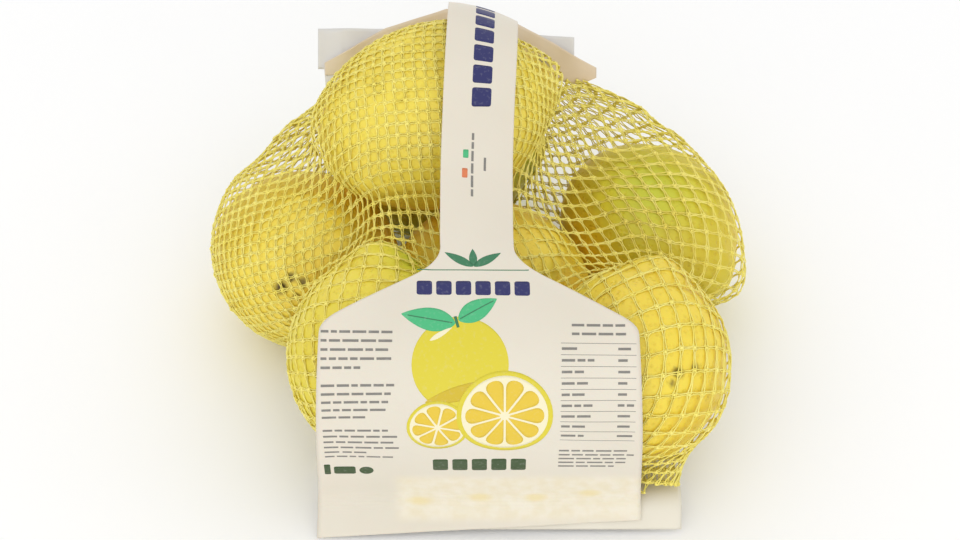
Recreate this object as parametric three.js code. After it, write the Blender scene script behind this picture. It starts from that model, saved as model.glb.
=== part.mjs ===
// A net of lemons. Seven fruits lie in a heap inside a knitted net. The net is closed at both
// ends against bands of film, and a front label narrows into a strip that runs over the heap
// to the band behind it.
//
// Millimetres, +Z up. The label is on the -Y side and faces up and forwards. The pack is laid
// out from a point on the floor among the fruits, and MIDDLE_SHIFT then moves it so that the
// origin is on the floor below the middle of the pack's box.

import * as THREE from 'three';

const degrees = THREE.MathUtils.degToRad;
const { lerp, smoothstep, clamp } = THREE.MathUtils;

const MIDDLE_SHIFT = [1.1, 3.6, 0];

// Fruits: middle, heading and lift of the long axis in degrees, length over the tips, girth.
const FRUITS = [
  { middle: [-15, 20.5, 82.9], heading: 24, lift: 3, length: 87, girth: 63.5 },
  { middle: [-61.5, 1.5, 31.5], heading: -42, lift: 10, length: 77, girth: 62.5 },
  { middle: [-32.5, -61, 48.8], heading: 92, lift: 42, length: 73, girth: 61.5 },
  { middle: [5, -14.3, 31.5], heading: -35, lift: 0, length: 77, girth: 63 },
  { middle: [61.2, 19, 30], heading: -50, lift: 0, length: 74, girth: 60 },
  { middle: [51, -60.5, 44.5], heading: 70, lift: 42, length: 71, girth: 61 },
  { middle: [-16.5, 59, 32], heading: 5, lift: 0, length: 79, girth: 64 },
];
const TIP = { height: 4.5, spread: 0.3 };      // the pointed end of a fruit
const STALK_END = { height: 1.8, spread: 0.5 };  // the blunter end it hung from

// Net: how far its skin stands off the fruits, and the grid of facets on it.
const NET_STANDOFF = 0.9;
const NET_AROUND = 104;
const NET_ALONG = 44;
const NET_WELD_THICKNESS = 0.8;

// The net is pulled tight on a coarse grid first. On the finer one it also sinks a little into
// the hollows between the fruits on each pass.
const COARSE_STEP = 2;
const COARSE_PASSES = 600;
const FINE_PASSES = 400;
const PULL_PER_PASS = 0.7;
const SINK_PER_PASS = 0.12;
const NEIGHBOURS = 4;

// The loose tube that the net starts from: middle, and half-lengths across, along and upwards.
const LOOSE_TUBE = { middle: [0, 0, 52], across: 125, along: 118, up: 95, pitch: 21.8 };

// Where the net hangs slack, away from the fruits: middle, reach, and how far it stands out.
const SLACK = [
  { middle: [50, 40, 72], reach: 26, out: 12 },
  { middle: [88, -20, 38], reach: 28, out: 4 },
  { middle: [-66, 40, 58], reach: 28, out: 8 },
  { middle: [-66, 5, 70], reach: 24, out: 4 },
];

// Slack stands out from this point. It and the sinking fade over the rows next to a seam.
const HEAP_MIDDLE = new THREE.Vector3(0, 0, 40);
const SEAM_HOLDS_ROWS = 9;

const LABEL_THICKNESS = 0.6;
const BAND_THICKNESS = 0.5;

// Where the film's rounded bend at a weld starts and ends, as parts of the straight runs.
const CORNER_STARTS = 0.55;
const CORNER_ENDS = 0.25;

// Label outline, across it, from the middle line to each side.
const LABEL_MIDDLE_X = -0.2;
const LABEL_FOOT_WIDTH = 108;
const LABEL_SHOULDER_WIDTH = 100;
const STRIP_WIDTH = 23.6;
const SHOULDER_CORNER = 5;
const NECK_CORNER = 10;

// Label outline, along it, from its lower edge up.
const SHOULDER_AT = 89.5;
const NECK_AT = 112;
const FOOT_SLANT = { rise: 6, fadesBy: 30 };

// The label's path in the Y-Z plane. It bends round the two lower fruits and the top one.
const LABEL_FOOT = [-98.8, 0.9];
const LABEL_WELD = [-90.2, 11.5];
const LOWER_BEND = { centre: [-58.8, 46.6], radius: 37.2 };
const LOWER_BEND_END = degrees(100);
const UPPER_BEND = { centre: [21.9, 84.7], radius: 34.6 };
const UPPER_BEND_START = degrees(140);
const BETWEEN_BENDS_EASE = 1 / 3;
const STRIP_TURN = [56.4, 76.5];
const STRIP_FOLD = [57.4, 73.4];
const STRIP_END = [68, 74.8];

// Sideways lean of the label, as a slope and a curve per millimetre, and the stretches along it
// over which each lean comes in and goes again. A negative place is counted from the far end.
const LOWER_LEAN = { slope: -0.032, curve: 0, comes: [48, 70], goes: [90, 120] };
const UPPER_LEAN = { slope: -0.28, curve: -0.01, comes: [112, 142], goes: [-34, -14] };

// Top band: extent in X, width, the Y and Z of its front edge, and tilt in degrees. It is even
// over the flat stretch. Towards each end it turns to another tilt and its front edge rises.
const TOP_BAND = { from: -58, to: 40, width: 14, front: [55.2, 72], tilt: 8 };
const TOP_BAND_FLAT = [-13, 14];
const TOP_BAND_LEFT = { reach: 45, tilt: 45, rise: 2.4 };
const TOP_BAND_RIGHT = { reach: 26, tilt: -33, rise: -2.6 };

// Bottom band: extent in X, and its path in the Y-Z plane, which bends at the weld.
const BOTTOM_BAND = { from: -54, to: 67, foot: [-96.2, 2.1], weld: [-89.3, 10.9], end: [-68, 6.4] };

// The two welded ends of the net: extent in X, middle in the Y-Z plane, lean of the seam.
const BOTTOM_SEAM = { from: -50, to: 66, at: [-88.5, 12], across: [-0.69, 0.72] };
const TOP_SEAM = { from: -55, to: 37, at: [54, 71.6], across: [0, 1] };

// Facets across and along the films, and the small step that finds a film's direction.
const FILM_COLUMNS = 10;
const LABEL_ROWS = 54;
const TOP_BAND_COLUMNS = 20;
const TOP_BAND_ROWS = 3;
const BOTTOM_BAND_ROWS = 6;
const FILM_STEP = 1e-3;

const materials = {
  net: new THREE.MeshStandardMaterial({ color: 0xe0cb5a, roughness: 0.6, metalness: 0 }),
  label: new THREE.MeshStandardMaterial({ color: 0xeee4ce, roughness: 0.45, metalness: 0 }),
  band: new THREE.MeshStandardMaterial({ color: 0xdcd2be, roughness: 0.45, metalness: 0 }),
};

// ---------------------------------------------------------------------------------------------
// Fruits

function longAxis({ heading, lift }) {
  const flat = Math.cos(degrees(lift));
  return new THREE.Vector3(
    Math.cos(degrees(heading)) * flat,
    Math.sin(degrees(heading)) * flat,
    Math.sin(degrees(lift)),
  );
}

// A lemon is an ellipsoid with a narrow tip at one end and a blunt one at the other.
function fruitRadius({ length, girth }, angle) {
  const halfLength = (length - TIP.height - STALK_END.height) / 2;
  const body = 1 / Math.hypot(Math.cos(angle) / halfLength, Math.sin(angle) / (girth / 2));
  const tip = TIP.height * Math.exp(-((angle / TIP.spread) ** 2));
  const stalkEnd = STALK_END.height * Math.exp(-(((Math.PI - angle) / STALK_END.spread) ** 2));
  return body + tip + stalkEnd;
}

const fruits = FRUITS.map((fruit) => ({
  ...fruit,
  centre: new THREE.Vector3(...fruit.middle),
  axis: longAxis(fruit),
}));

// ---------------------------------------------------------------------------------------------
// Net: an elastic tube that is pulled tight over the heap between its two welded ends.

// One welded end as a flat closed loop. turn runs once round the net, from 0 to 1. Its two
// ends, at turns 0 and 0.5, lie in the middle of the weld's thickness.
function seamPoint(seam, turn) {
  const angle = 2 * Math.PI * turn;
  const middleX = (seam.from + seam.to) / 2;
  const face = turn === 0 || turn === 0.5 ? 0 : Math.sign(0.5 - turn);
  const across = face * NET_WELD_THICKNESS / 2;
  return new THREE.Vector3(
    middleX + (seam.to - seam.from) / 2 * Math.cos(angle),
    seam.at[0] + seam.across[0] * across,
    seam.at[1] + seam.across[1] * across,
  );
}

// A loose tube round the whole heap, from the bottom seam at 0 to the top seam at 1.
function looseTubePoint(turn, rise) {
  const angle = 2 * Math.PI * turn;
  const polar = Math.PI * rise;
  return new THREE.Vector3(
    LOOSE_TUBE.across * Math.sin(polar) * Math.cos(angle),
    -LOOSE_TUBE.along * Math.cos(polar),
    LOOSE_TUBE.up * Math.sin(polar) * Math.sin(angle),
  )
    .applyAxisAngle(new THREE.Vector3(1, 0, 0), degrees(LOOSE_TUBE.pitch))
    .add(new THREE.Vector3(...LOOSE_TUBE.middle));
}

function looseTube(around, along) {
  const rows = [];
  for (let row = 0; row <= along; row += 1) {
    const line = [];
    for (let column = 0; column < around; column += 1) {
      const turn = column / around;
      if (row === 0) line.push(seamPoint(BOTTOM_SEAM, turn));
      else if (row === along) line.push(seamPoint(TOP_SEAM, turn));
      else line.push(looseTubePoint(turn, row / along));
    }
    rows.push(line);
  }
  return rows;
}

function pushOutOfFruits(point) {
  for (const fruit of fruits) {
    const fromCentre = point.clone().sub(fruit.centre);
    const distance = fromCentre.length();
    if (distance < fruit.length) {
      const cosine = clamp(fromCentre.dot(fruit.axis) / distance, -1, 1);
      const reach = fruitRadius(fruit, Math.acos(cosine)) + NET_STANDOFF;
      if (distance < reach) point.copy(fruit.centre).addScaledVector(fromCentre, reach / distance);
    }
  }
}

// How far a row is clear of both seams, from 0 at a seam to 1.
function clearOfSeams(rows, row) {
  return Math.min(row, rows.length - 1 - row, SEAM_HOLDS_ROWS) / SEAM_HOLDS_ROWS;
}

const slackShare = (point, { middle, reach }) =>
  Math.exp(-((point.distanceTo(new THREE.Vector3(...middle)) / reach) ** 2));

// The way out of the net at a point of its grid.
function outwards(rows, row, column) {
  const around = rows[row].length;
  const round = rows[row][(column + 1) % around].clone()
    .sub(rows[row][(column + around - 1) % around]);
  return rows[row + 1][column].clone().sub(rows[row - 1][column]).cross(round).normalize();
}

// Each pass pulls every point towards its neighbours, sinks it where the net isn't slack, and
// puts it back out of the fruits and floor.
function relax(rows, passes, sink) {
  const around = rows[0].length;
  const along = rows.length - 1;
  for (let pass = 0; pass < passes; pass += 1) {
    const before = rows.map((line) => line.map((point) => point.clone()));
    for (let row = 1; row < along; row += 1) {
      for (let column = 0; column < around; column += 1) {
        const mean = before[row - 1][column].clone()
          .add(before[row + 1][column])
          .add(before[row][(column + 1) % around])
          .add(before[row][(column + around - 1) % around])
          .divideScalar(NEIGHBOURS);
        const point = rows[row][column];
        const taut = 1 - Math.max(...SLACK.map((spot) => slackShare(point, spot)));
        point.lerp(mean, PULL_PER_PASS);
        point.addScaledVector(
          outwards(before, row, column),
          -sink * taut * clearOfSeams(rows, row),
        );
        pushOutOfFruits(point);
        point.z = Math.max(point.z, 0);
      }
    }
  }
}

// Twice as many rows and columns, with the new points halfway between the old ones.
function refine(rows) {
  const wide = rows.map((line) => line.flatMap((point, column) => [
    point,
    point.clone().lerp(line[(column + 1) % line.length], 0.5),
  ]));
  const fine = [];
  wide.forEach((line, row) => {
    fine.push(line);
    if (row < wide.length - 1) {
      fine.push(line.map((point, column) => point.clone().lerp(wide[row + 1][column], 0.5)));
    }
  });
  for (const [row, seam] of [[0, BOTTOM_SEAM], [fine.length - 1, TOP_SEAM]]) {
    fine[row] = fine[row].map((_, column) => seamPoint(seam, column / fine[row].length));
  }
  return fine;
}

function hangSlack(rows) {
  rows.forEach((line, row) => {
    for (const point of line) {
      for (const spot of SLACK) {
        const away = point.clone().sub(HEAP_MIDDLE).normalize();
        const share = slackShare(point, spot) * clearOfSeams(rows, row);
        point.addScaledVector(away, spot.out * share);
      }
      point.z = Math.max(point.z, 0);
    }
  });
}

function netSkin() {
  let rows = looseTube(NET_AROUND / COARSE_STEP, NET_ALONG / COARSE_STEP);
  relax(rows, COARSE_PASSES, 0);
  rows = refine(rows);
  relax(rows, FINE_PASSES, SINK_PER_PASS);
  hangSlack(rows);
  return rows;
}

// A closed tube of facets, with each flat end filled straight across.
function netGeometry() {
  const rows = netSkin();
  const around = rows[0].length;
  const index = [];
  const at = (row, column) => row * around + (column + around) % around;
  for (let row = 0; row < rows.length - 1; row += 1) {
    for (let column = 0; column < around; column += 1) {
      const [a, b] = [at(row, column), at(row, column + 1)];
      const [c, d] = [at(row + 1, column), at(row + 1, column + 1)];
      index.push(a, c, b, b, c, d);
    }
  }
  const last = rows.length - 1;
  for (let column = 0; column < around / 2; column += 1) {
    const [near, far] = [column + 1, around - column];
    for (const [row, flip] of [[0, false], [last, true]]) {
      const quad = [at(row, column), at(row, near), at(row, far - 1), at(row, far)];
      const facets = [[quad[0], quad[1], quad[3]], [quad[1], quad[2], quad[3]]]
        .filter((facet) => new Set(facet).size === 3);
      for (const [a, b, c] of facets) index.push(...(flip ? [a, c, b] : [a, b, c]));
    }
  }
  return indexedGeometry(rows.flat(), index);
}

function indexedGeometry(points, index) {
  const geometry = new THREE.BufferGeometry().setFromPoints(points);
  geometry.setIndex(index);
  geometry.computeVertexNormals();
  return geometry;
}

// ---------------------------------------------------------------------------------------------
// Film: a thin closed sheet on a curved surface. across and along run from 0 to 1.

function filmGeometry(surface, columns, rows, thickness) {
  const points = [[], []];
  for (let row = 0; row <= rows; row += 1) {
    for (let column = 0; column <= columns; column += 1) {
      const [across, along] = [column / columns, row / rows];
      const middle = surface(across, along);
      const sideways = surface(Math.min(across + FILM_STEP, 1), along)
        .sub(surface(Math.max(across - FILM_STEP, 0), along));
      const forwards = surface(across, Math.min(along + FILM_STEP, 1))
        .sub(surface(across, Math.max(along - FILM_STEP, 0)));
      const normal = sideways.cross(forwards).normalize();
      points[0].push(middle.clone().addScaledVector(normal, thickness / 2));
      points[1].push(middle.clone().addScaledVector(normal, -thickness / 2));
    }
  }
  const wide = columns + 1;
  const under = points[0].length;
  const index = [];
  for (let row = 0; row < rows; row += 1) {
    for (let column = 0; column < columns; column += 1) {
      const a = row * wide + column;
      index.push(a, a + 1, a + wide, a + 1, a + wide + 1, a + wide);
      index.push(under + a, under + a + wide, under + a + 1);
      index.push(under + a + 1, under + a + wide, under + a + wide + 1);
    }
  }
  const rim = [];
  for (let column = 0; column < columns; column += 1) rim.push(column);
  for (let row = 0; row < rows; row += 1) rim.push(row * wide + columns);
  for (let column = columns; column > 0; column -= 1) rim.push(rows * wide + column);
  for (let row = rows; row > 0; row -= 1) rim.push(row * wide);
  rim.forEach((a, place) => {
    const b = rim[(place + 1) % rim.length];
    index.push(a, under + a, b, b, under + a, under + b);
  });
  return indexedGeometry(points.flat(), index);
}

// ---------------------------------------------------------------------------------------------
// Label

const onCircle = ({ centre, radius }, angle) => new THREE.Vector2(
  centre[0] + radius * Math.cos(angle),
  centre[1] + radius * Math.sin(angle),
);

// Angle on a circle at which a line from a point outside touches it.
function touchAngle({ centre, radius }, [y, z], side) {
  const [dy, dz] = [y - centre[0], z - centre[1]];
  return Math.atan2(dz, dy) + side * Math.acos(radius / Math.hypot(dy, dz));
}

function bend({ centre, radius }, from, to) {
  return new THREE.EllipseCurve(centre[0], centre[1], radius, radius, from, to, true);
}

const point = ([y, z]) => new THREE.Vector2(y, z);

// A straight run to a corner and on from it, with the corner rounded off.
function addRoundedCorner(path, start, corner, end) {
  const before = start.clone().lerp(corner, CORNER_STARTS);
  const after = corner.clone().lerp(end, CORNER_ENDS);
  path.add(new THREE.LineCurve(start, before));
  path.add(new THREE.QuadraticBezierCurve(before, corner, after));
  path.add(new THREE.LineCurve(after, end));
}

function labelPath() {
  const path = new THREE.CurvePath();
  const lowerStart = 2 * Math.PI + touchAngle(LOWER_BEND, LABEL_WELD, -1);
  const lowerTouch = onCircle(LOWER_BEND, lowerStart);
  const upperTouch = onCircle(UPPER_BEND, UPPER_BEND_START);
  const upperEnd = touchAngle(UPPER_BEND, STRIP_TURN, 1);
  const lowerEnd = onCircle(LOWER_BEND, LOWER_BEND_END);
  const reach = lowerEnd.distanceTo(upperTouch) * BETWEEN_BENDS_EASE;
  const easeOut = new THREE.Vector2(Math.sin(LOWER_BEND_END), -Math.cos(LOWER_BEND_END));
  const easeIn = new THREE.Vector2(Math.sin(UPPER_BEND_START), -Math.cos(UPPER_BEND_START));
  addRoundedCorner(path, point(LABEL_FOOT), point(LABEL_WELD), lowerTouch);
  path.add(bend(LOWER_BEND, lowerStart, LOWER_BEND_END));
  path.add(new THREE.CubicBezierCurve(
    lowerEnd,
    lowerEnd.clone().addScaledVector(easeOut, reach),
    upperTouch.clone().addScaledVector(easeIn, -reach),
    upperTouch,
  ));
  path.add(bend(UPPER_BEND, UPPER_BEND_START, upperEnd));
  path.add(new THREE.LineCurve(onCircle(UPPER_BEND, upperEnd), point(STRIP_TURN)));
  path.add(new THREE.QuadraticBezierCurve(point(STRIP_TURN), point(STRIP_FOLD), point(STRIP_END)));
  return path;
}

// Half of the label's width at a distance along it: a house shape that runs on as a strip.
function labelHalfWidth(distance) {
  const foot = LABEL_FOOT_WIDTH / 2;
  const shoulder = LABEL_SHOULDER_WIDTH / 2;
  const strip = STRIP_WIDTH / 2;
  const side = foot + (shoulder - foot) * distance / SHOULDER_AT;
  const roof = shoulder + (strip - shoulder) * (distance - SHOULDER_AT) / (NECK_AT - SHOULDER_AT);
  const capped = softMinimum(side, roof, SHOULDER_CORNER);
  return -softMinimum(-capped, -strip, NECK_CORNER);
}

// The smaller of two values, with the corner between them rounded off.
function softMinimum(a, b, rounding) {
  const nearness = Math.max(rounding - Math.abs(a - b), 0) / rounding;
  return Math.min(a, b) - nearness ** 2 * rounding / 4;
}

const labelRun = labelPath();
const labelLength = labelRun.getLength();

function pathNormal(path, along) {
  const tangent = path.getTangentAt(along);
  return new THREE.Vector2(-tangent.y, tangent.x);
}

// How far a lean lifts the label off its path, at a distance along it and to one side.
function liftFrom({ slope, curve, comes, goes }, distance, sideways) {
  const places = goes.map((place) => (place < 0 ? labelLength + place : place));
  const share = smoothstep(distance, ...comes) * (1 - smoothstep(distance, ...places));
  return share * (slope * sideways + curve * sideways ** 2);
}

function labelSurface(across, along) {
  const slant = FOOT_SLANT.rise * across
    * (1 - smoothstep(along * labelLength, 0, FOOT_SLANT.fadesBy));
  const distance = along * labelLength + slant;
  const sideways = (2 * across - 1) * labelHalfWidth(distance);
  const lift = liftFrom(LOWER_LEAN, distance, sideways) + liftFrom(UPPER_LEAN, distance, sideways);
  const place = distance / labelLength;
  const middle = labelRun.getPointAt(place).addScaledVector(pathNormal(labelRun, place), lift);
  return new THREE.Vector3(LABEL_MIDDLE_X + sideways, middle.x, middle.y);
}

// ---------------------------------------------------------------------------------------------
// Bands

function topBandSurface(across, along) {
  const x = lerp(TOP_BAND.from, TOP_BAND.to, across);
  const left = smoothstep(TOP_BAND_FLAT[0] - x, 0, TOP_BAND_LEFT.reach);
  const right = smoothstep(x - TOP_BAND_FLAT[1], 0, TOP_BAND_RIGHT.reach);
  const tilt = degrees(TOP_BAND.tilt
    + (TOP_BAND_LEFT.tilt - TOP_BAND.tilt) * left
    + (TOP_BAND_RIGHT.tilt - TOP_BAND.tilt) * right);
  const rise = TOP_BAND_LEFT.rise * left + TOP_BAND_RIGHT.rise * right;
  const reach = TOP_BAND.width * along;
  return new THREE.Vector3(
    x,
    TOP_BAND.front[0] + reach * Math.cos(tilt),
    TOP_BAND.front[1] + rise + reach * Math.sin(tilt),
  );
}

const bottomBandRun = new THREE.CurvePath();
addRoundedCorner(
  bottomBandRun,
  point(BOTTOM_BAND.foot),
  point(BOTTOM_BAND.weld),
  point(BOTTOM_BAND.end),
);

function bottomBandSurface(across, along) {
  const { x, y } = bottomBandRun.getPointAt(along);
  return new THREE.Vector3(lerp(BOTTOM_BAND.from, BOTTOM_BAND.to, across), x, y);
}

// ---------------------------------------------------------------------------------------------
// Assembly

function named(name, geometry, material) {
  const mesh = new THREE.Mesh(geometry, material);
  mesh.name = name;
  return mesh;
}

const pack = new THREE.Group();
pack.position.set(...MIDDLE_SHIFT);
pack.add(named('net_bag', netGeometry(), materials.net));
pack.add(named(
  'front_label',
  filmGeometry(labelSurface, FILM_COLUMNS, LABEL_ROWS, LABEL_THICKNESS),
  materials.label,
));
pack.add(named(
  'top_band',
  filmGeometry(topBandSurface, TOP_BAND_COLUMNS, TOP_BAND_ROWS, BAND_THICKNESS),
  materials.band,
));
pack.add(named(
  'bottom_band',
  filmGeometry(bottomBandSurface, FILM_COLUMNS, BOTTOM_BAND_ROWS, BAND_THICKNESS),
  materials.band,
));

export default pack;
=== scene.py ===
"""A net of lemons on a pale floor: seven lemons, a knitted net, a printed film label and two bands.

Shapes are laid out in millimetres from a point on the floor among the lemons, as the CAD part
is, and move by MIDDLE_SHIFT into the part's own frame when they become meshes.
"""

import math

import bpy
import numpy as np
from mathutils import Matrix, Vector
from numpy.linalg import norm


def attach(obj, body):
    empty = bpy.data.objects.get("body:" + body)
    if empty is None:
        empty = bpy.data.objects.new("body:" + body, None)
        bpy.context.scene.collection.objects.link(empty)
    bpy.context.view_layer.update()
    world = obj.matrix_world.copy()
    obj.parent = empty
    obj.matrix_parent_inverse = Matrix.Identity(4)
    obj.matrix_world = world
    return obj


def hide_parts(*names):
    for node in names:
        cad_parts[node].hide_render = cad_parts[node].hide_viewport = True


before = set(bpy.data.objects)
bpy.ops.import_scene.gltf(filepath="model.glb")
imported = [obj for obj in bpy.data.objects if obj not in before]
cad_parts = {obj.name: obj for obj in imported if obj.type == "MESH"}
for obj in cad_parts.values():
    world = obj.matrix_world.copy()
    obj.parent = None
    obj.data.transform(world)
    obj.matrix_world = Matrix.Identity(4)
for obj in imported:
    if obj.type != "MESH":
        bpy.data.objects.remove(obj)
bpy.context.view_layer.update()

MILLIMETRE, NEARLY_ZERO = 0.001, 1e-9
MIDDLE_SHIFT = np.array([1.1, 3.6, 0.0])
BODY = "root"

# ---------------------------------------------------------------------------------------------
# Sizes, in millimetres and degrees

# Lemons: middle, heading and lift of the long axis, length over the tips, girth, and how green
# and how pale the rind is.
LEMONS = {
    "lemon_top": dict(
        middle=(-15, 20.5, 82.9), heading=24, lift=3, length=87, girth=63.5, green=0.08, pale=0.9),
    "lemon_left": dict(
        middle=(-61.5, 1.5, 31.5), heading=-42, lift=10, length=77, girth=62.5, green=0, pale=0.8),
    "lemon_lower_left": dict(
        middle=(-32.5, -61, 48.8), heading=92, lift=42, length=73, girth=61.5, green=0.4, pale=0.5),
    "lemon_middle": dict(
        middle=(5, -14.3, 31.5), heading=-35, lift=0, length=77, girth=63, green=0.05, pale=0.3),
    "lemon_right": dict(
        middle=(61.2, 19, 30), heading=-50, lift=0, length=74, girth=60, green=0.42, pale=0.3),
    "lemon_lower_right": dict(
        middle=(51, -60.5, 44.5), heading=70, lift=42, length=71, girth=61, green=0.05, pale=0.4),
    "lemon_back": dict(
        middle=(-16.5, 59, 32), heading=5, lift=0, length=79, girth=64, green=1.2, pale=0.4),
}
TIP_HEIGHT, TIP_SPREAD = 4.5, 0.3
STALK_HEIGHT, STALK_SPREAD = 1.8, 0.5
LEMON_RINGS, LEMON_SIDES = 96, 144

# Relief of the rind: rings round the long axis, as height, spread and angle from one end, how
# uneven it is between them, and the lengths and seeds of the waves in that and in the green.
NECK, DIMPLE, FOLDS, FOLD_COUNT = (-0.55, 0.09, 0.43), (-1.9, 0.11), (0.45, 0.14, 0.2), 6
BROAD_WAVES, FINE_WAVES, RIND_SINKS, MARK_DEPTH = 0.22, 0.1, 0.15, 0.5
BROAD_LENGTHS, FINE_LENGTHS, GREEN_LENGTHS, WAVE_SIZE = (9, 34), (4, 9), (30, 70), 1.6
MARK_SHARPNESS, GREEN_SHARPNESS = 4, 2
FINE_SEED, GREEN_SEED = 50, 90

# A direction that no lemon lies along.
ASKEW = (0.1, 0.2, 1.0)

# Green at both ends of a lemon, as strength and spread.
GREEN_TIP, GREEN_STALK, GREEN_ALL_OVER = (0.55, 0.35), (0.35, 0.3), 0.25

# Painted light: the rind is painted a warm amber where two lemons lie close together, in place of the
# glow of light that bounces between the rinds and shines through them.
PAINTED_GLOW_REACH = 10

# Brown marks on the rind: place, reach, and how dark.
RIND_MARKS = [
    ((-68, -26.5, 45.8), 2.3, 1.0), ((-64.5, -25, 49.3), 1.7, 0.9), ((-60.3, -26.8, 48.8), 1.8, 0.8),
    ((-63, -29.4, 44.5), 1.3, 0.8),
    ((63, -82, 64), 1.7, 0.9), ((69, -80, 64), 1.5, 0.9), ((61, -84, 61), 1.2, 0.7),
    ((42, -18, 76), 1.0, 0.8), ((22.5, 36, 96), 1.9, 1.0), ((25, 36, 93.5), 1.5, 0.9),
]

# Where the rind is still green: place, reach, and how green.
GREEN_PATCHES = [((60, 9, 58), 15, 0.55), ((-21, -40, 74), 7, 0.6), ((25, -33, 57), 6, 0.5)]

# Net skin: a loose tube pulled tight over the lemons, on three grids, each twice as fine as the
# one before. On the finer two it also sinks a little between the lemons on each pass.
SKIN_STANDOFF = 0.1
SKIN_AROUND, SKIN_ALONG = 52, 22
COARSE_PASSES, MIDDLE_PASSES, FINE_PASSES, PULL_PER_PASS = 600, 400, 80, 0.7
MIDDLE_SINK, FINE_SINK = 0.12, 0.03
TUBE_MIDDLE, TUBE_HALF, TUBE_PITCH = (0, 0, 52), (125, 118, 95), 21.8

# Where the net hangs slack: middle, reach, and how far it stands out from the heap's middle.
SLACK = [
    ((47, 46, 63), 25, 17), ((38, 50, 76), 14, 4), ((88, -22, 38), 26, 8),
    ((80, -88, 30), 20, 5), ((-68, 38, 58), 28, 13), ((-66, 5, 70), 20, 2),
]
HEAP_MIDDLE = np.array([0, 0, 40.0])

# Where the net is tucked in between the lemons: middle, reach, and how deep.
TUCKS = [((-53, -13, 67), 15, 9), ((-66, -34, 52), 9, 4), ((-44, 0, 84), 12, 4)]

# How far the net's ends hold it, as a share of its length, and the welds that close them.
SEAM_HOLDS = 9 / 44
WELD_THICKNESS = 0.8
BOTTOM_SEAM = dict(start=-50, end=66, at=(-88.5, 12), across=(-0.69, 0.72))
TOP_SEAM = dict(start=-55, end=37, at=(54, 71.6), across=(0, 1))

# Threads: how many run from seam to seam, the side of an open mesh where nothing pulls it and
# how firmly that is held, the longest strand that is kept, and how unevenly knots and strands lie.
LENGTHWISE_THREADS, THREAD_START = 106, 0.31
FREE_MESH_SIDE, FREE_PULL = 4.8, 0.2
LONGEST_MESH_SIDE, STRAND_STEPS = 17.0, 4
KNOT_UNEVENNESS, STRAND_UNEVENNESS = 0.18, 0.09

# Limits for the work that finds where the threads run, and how a pull fades round a bend.
STEEPEST_VIEW, LEAST_SQUARENESS, SHORTEST_SIDE, LEAST_AREA = 2, 0.15, 0.05, 1e-12
FIELD_PASSES, FIELD_TOLERANCE, FACING_SLOPE, FACING_SHIFT = 1500, 1e-5, 1.5, 0.2

# Distance from a place below counts only partly along the line of sight, and not on the far side.
DEPTH_LEFT_OUT, FAR_SIDE = 0.7, 1000

# How the net is pulled: a place on it, the headings of the crosswise and of the lengthwise
# threads there in degrees from the right, seen from the front and halfway up, the mesh side
# along each, and how far round the place the pull holds.
PULLS = [
    (30, -13, 80, 30, -45, 6.6, 6.8, 14), (40, -22, 75, 28, -42, 6.6, 6.8, 14),
    (34, -37, 75, 28, -45, 6.6, 6.8, 14), (22, -31, 79, 25, -50, 6.6, 6.8, 14),
    (44, -42, 75, 25, -50, 6.6, 7.0, 14), (45, -55, 76, 25, -56, 6.6, 7.2, 12),
    (54, -67, 76, 24, -62, 6.4, 7.2, 12), (67, -75, 70, 0, -90, 5.2, 6.6, 14),
    (69, -85, 59, -3, -88, 5.2, 6.6, 14), (58, -87, 62, 16, -110, 5.6, 6.4, 12),
    (56, -93, 50, -8, -135, 5.6, 6.4, 12), (52, -93, 38, -8, -158, 6.0, 6.0, 10),
    (66, -90, 47, -12, -115, 5.4, 6.2, 12), (73, -6, 55, -6, -84, 5.0, 6.4, 13),
    (81, -12, 45, 0, -92, 5.0, 6.4, 13), (66, 8, 62, 10, -80, 5.2, 5.8, 10),
    (80, 11, 58, -12, -70, 5.2, 5.6, 12), (45, 4, 74, -30, -62, 6.0, 6.0, 8),
    (54, -8, 68, -36, -60, 6.0, 6.0, 8), (62, -18, 64, -36, -60, 6.0, 6.0, 8),
    (69, -39, 69, -40, -66, 6.0, 6.0, 8), (-31, -51, 81, -3, -102, 6.4, 6.6, 12),
    (-40, -62, 81, 8, -104, 6.4, 6.6, 12), (-22, -40, 83, -8, -96, 6.4, 6.4, 10),
    (-29, -32, 86, -20, -63, 6.0, 6.4, 9), (-38, -27, 85, -14, -72, 6.0, 6.0, 9),
    (-16, -35, 85, -24, -66, 6.0, 6.4, 8), (-59, -45, 67, 50, -112, 6.0, 6.0, 7),
    (-44, -13, 88, 42, -104, 5.0, 5.0, 9), (-49, -5, 89, 40, -104, 5.0, 5.0, 9),
    (-53, -24, 76, 35, -100, 3.8, 4.6, 9), (-32, -8, 102, 5, -90, 2.9, 2.9, 20),
    (-17, -1, 112, 0, -90, 2.9, 2.9, 20), (-44, 10, 106, 20, -80, 2.9, 2.9, 18),
    (-20, -21, 93, 0, -92, 4.4, 4.2, 9), (15, 7, 102, -8, -80, 3.0, 3.0, 16),
    (25, 11, 90, -28, -66, 3.8, 3.8, 9), (-79, -10, 58, 10, -95, 2.8, 2.9, 16),
    (-85, -19, 46, 0, -90, 2.8, 2.9, 16), (-72, -34, 48, -5, -75, 2.9, 3.0, 14),
    (-60, -21, 70, 25, -95, 2.9, 3.2, 14), (-75, 5, 63, 25, -85, 2.9, 3.0, 12),
    (-54, -82, 62, -5, -88, 4.4, 4.8, 14), (-57, -67, 70, 0, -100, 4.8, 5.0, 12),
    (46, 50, 67, -25, -95, 5.2, 4.8, 9), (57, 44, 66, -30, -95, 5.6, 5.0, 12),
    (75, 36, 56, -38, -95, 5.6, 5.0, 12), (43, 35, 65, -25, -85, 5.2, 5.2, 9),
    (-68, 38, 60, 42, -60, 5.6, 5.6, 12),
]

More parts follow.
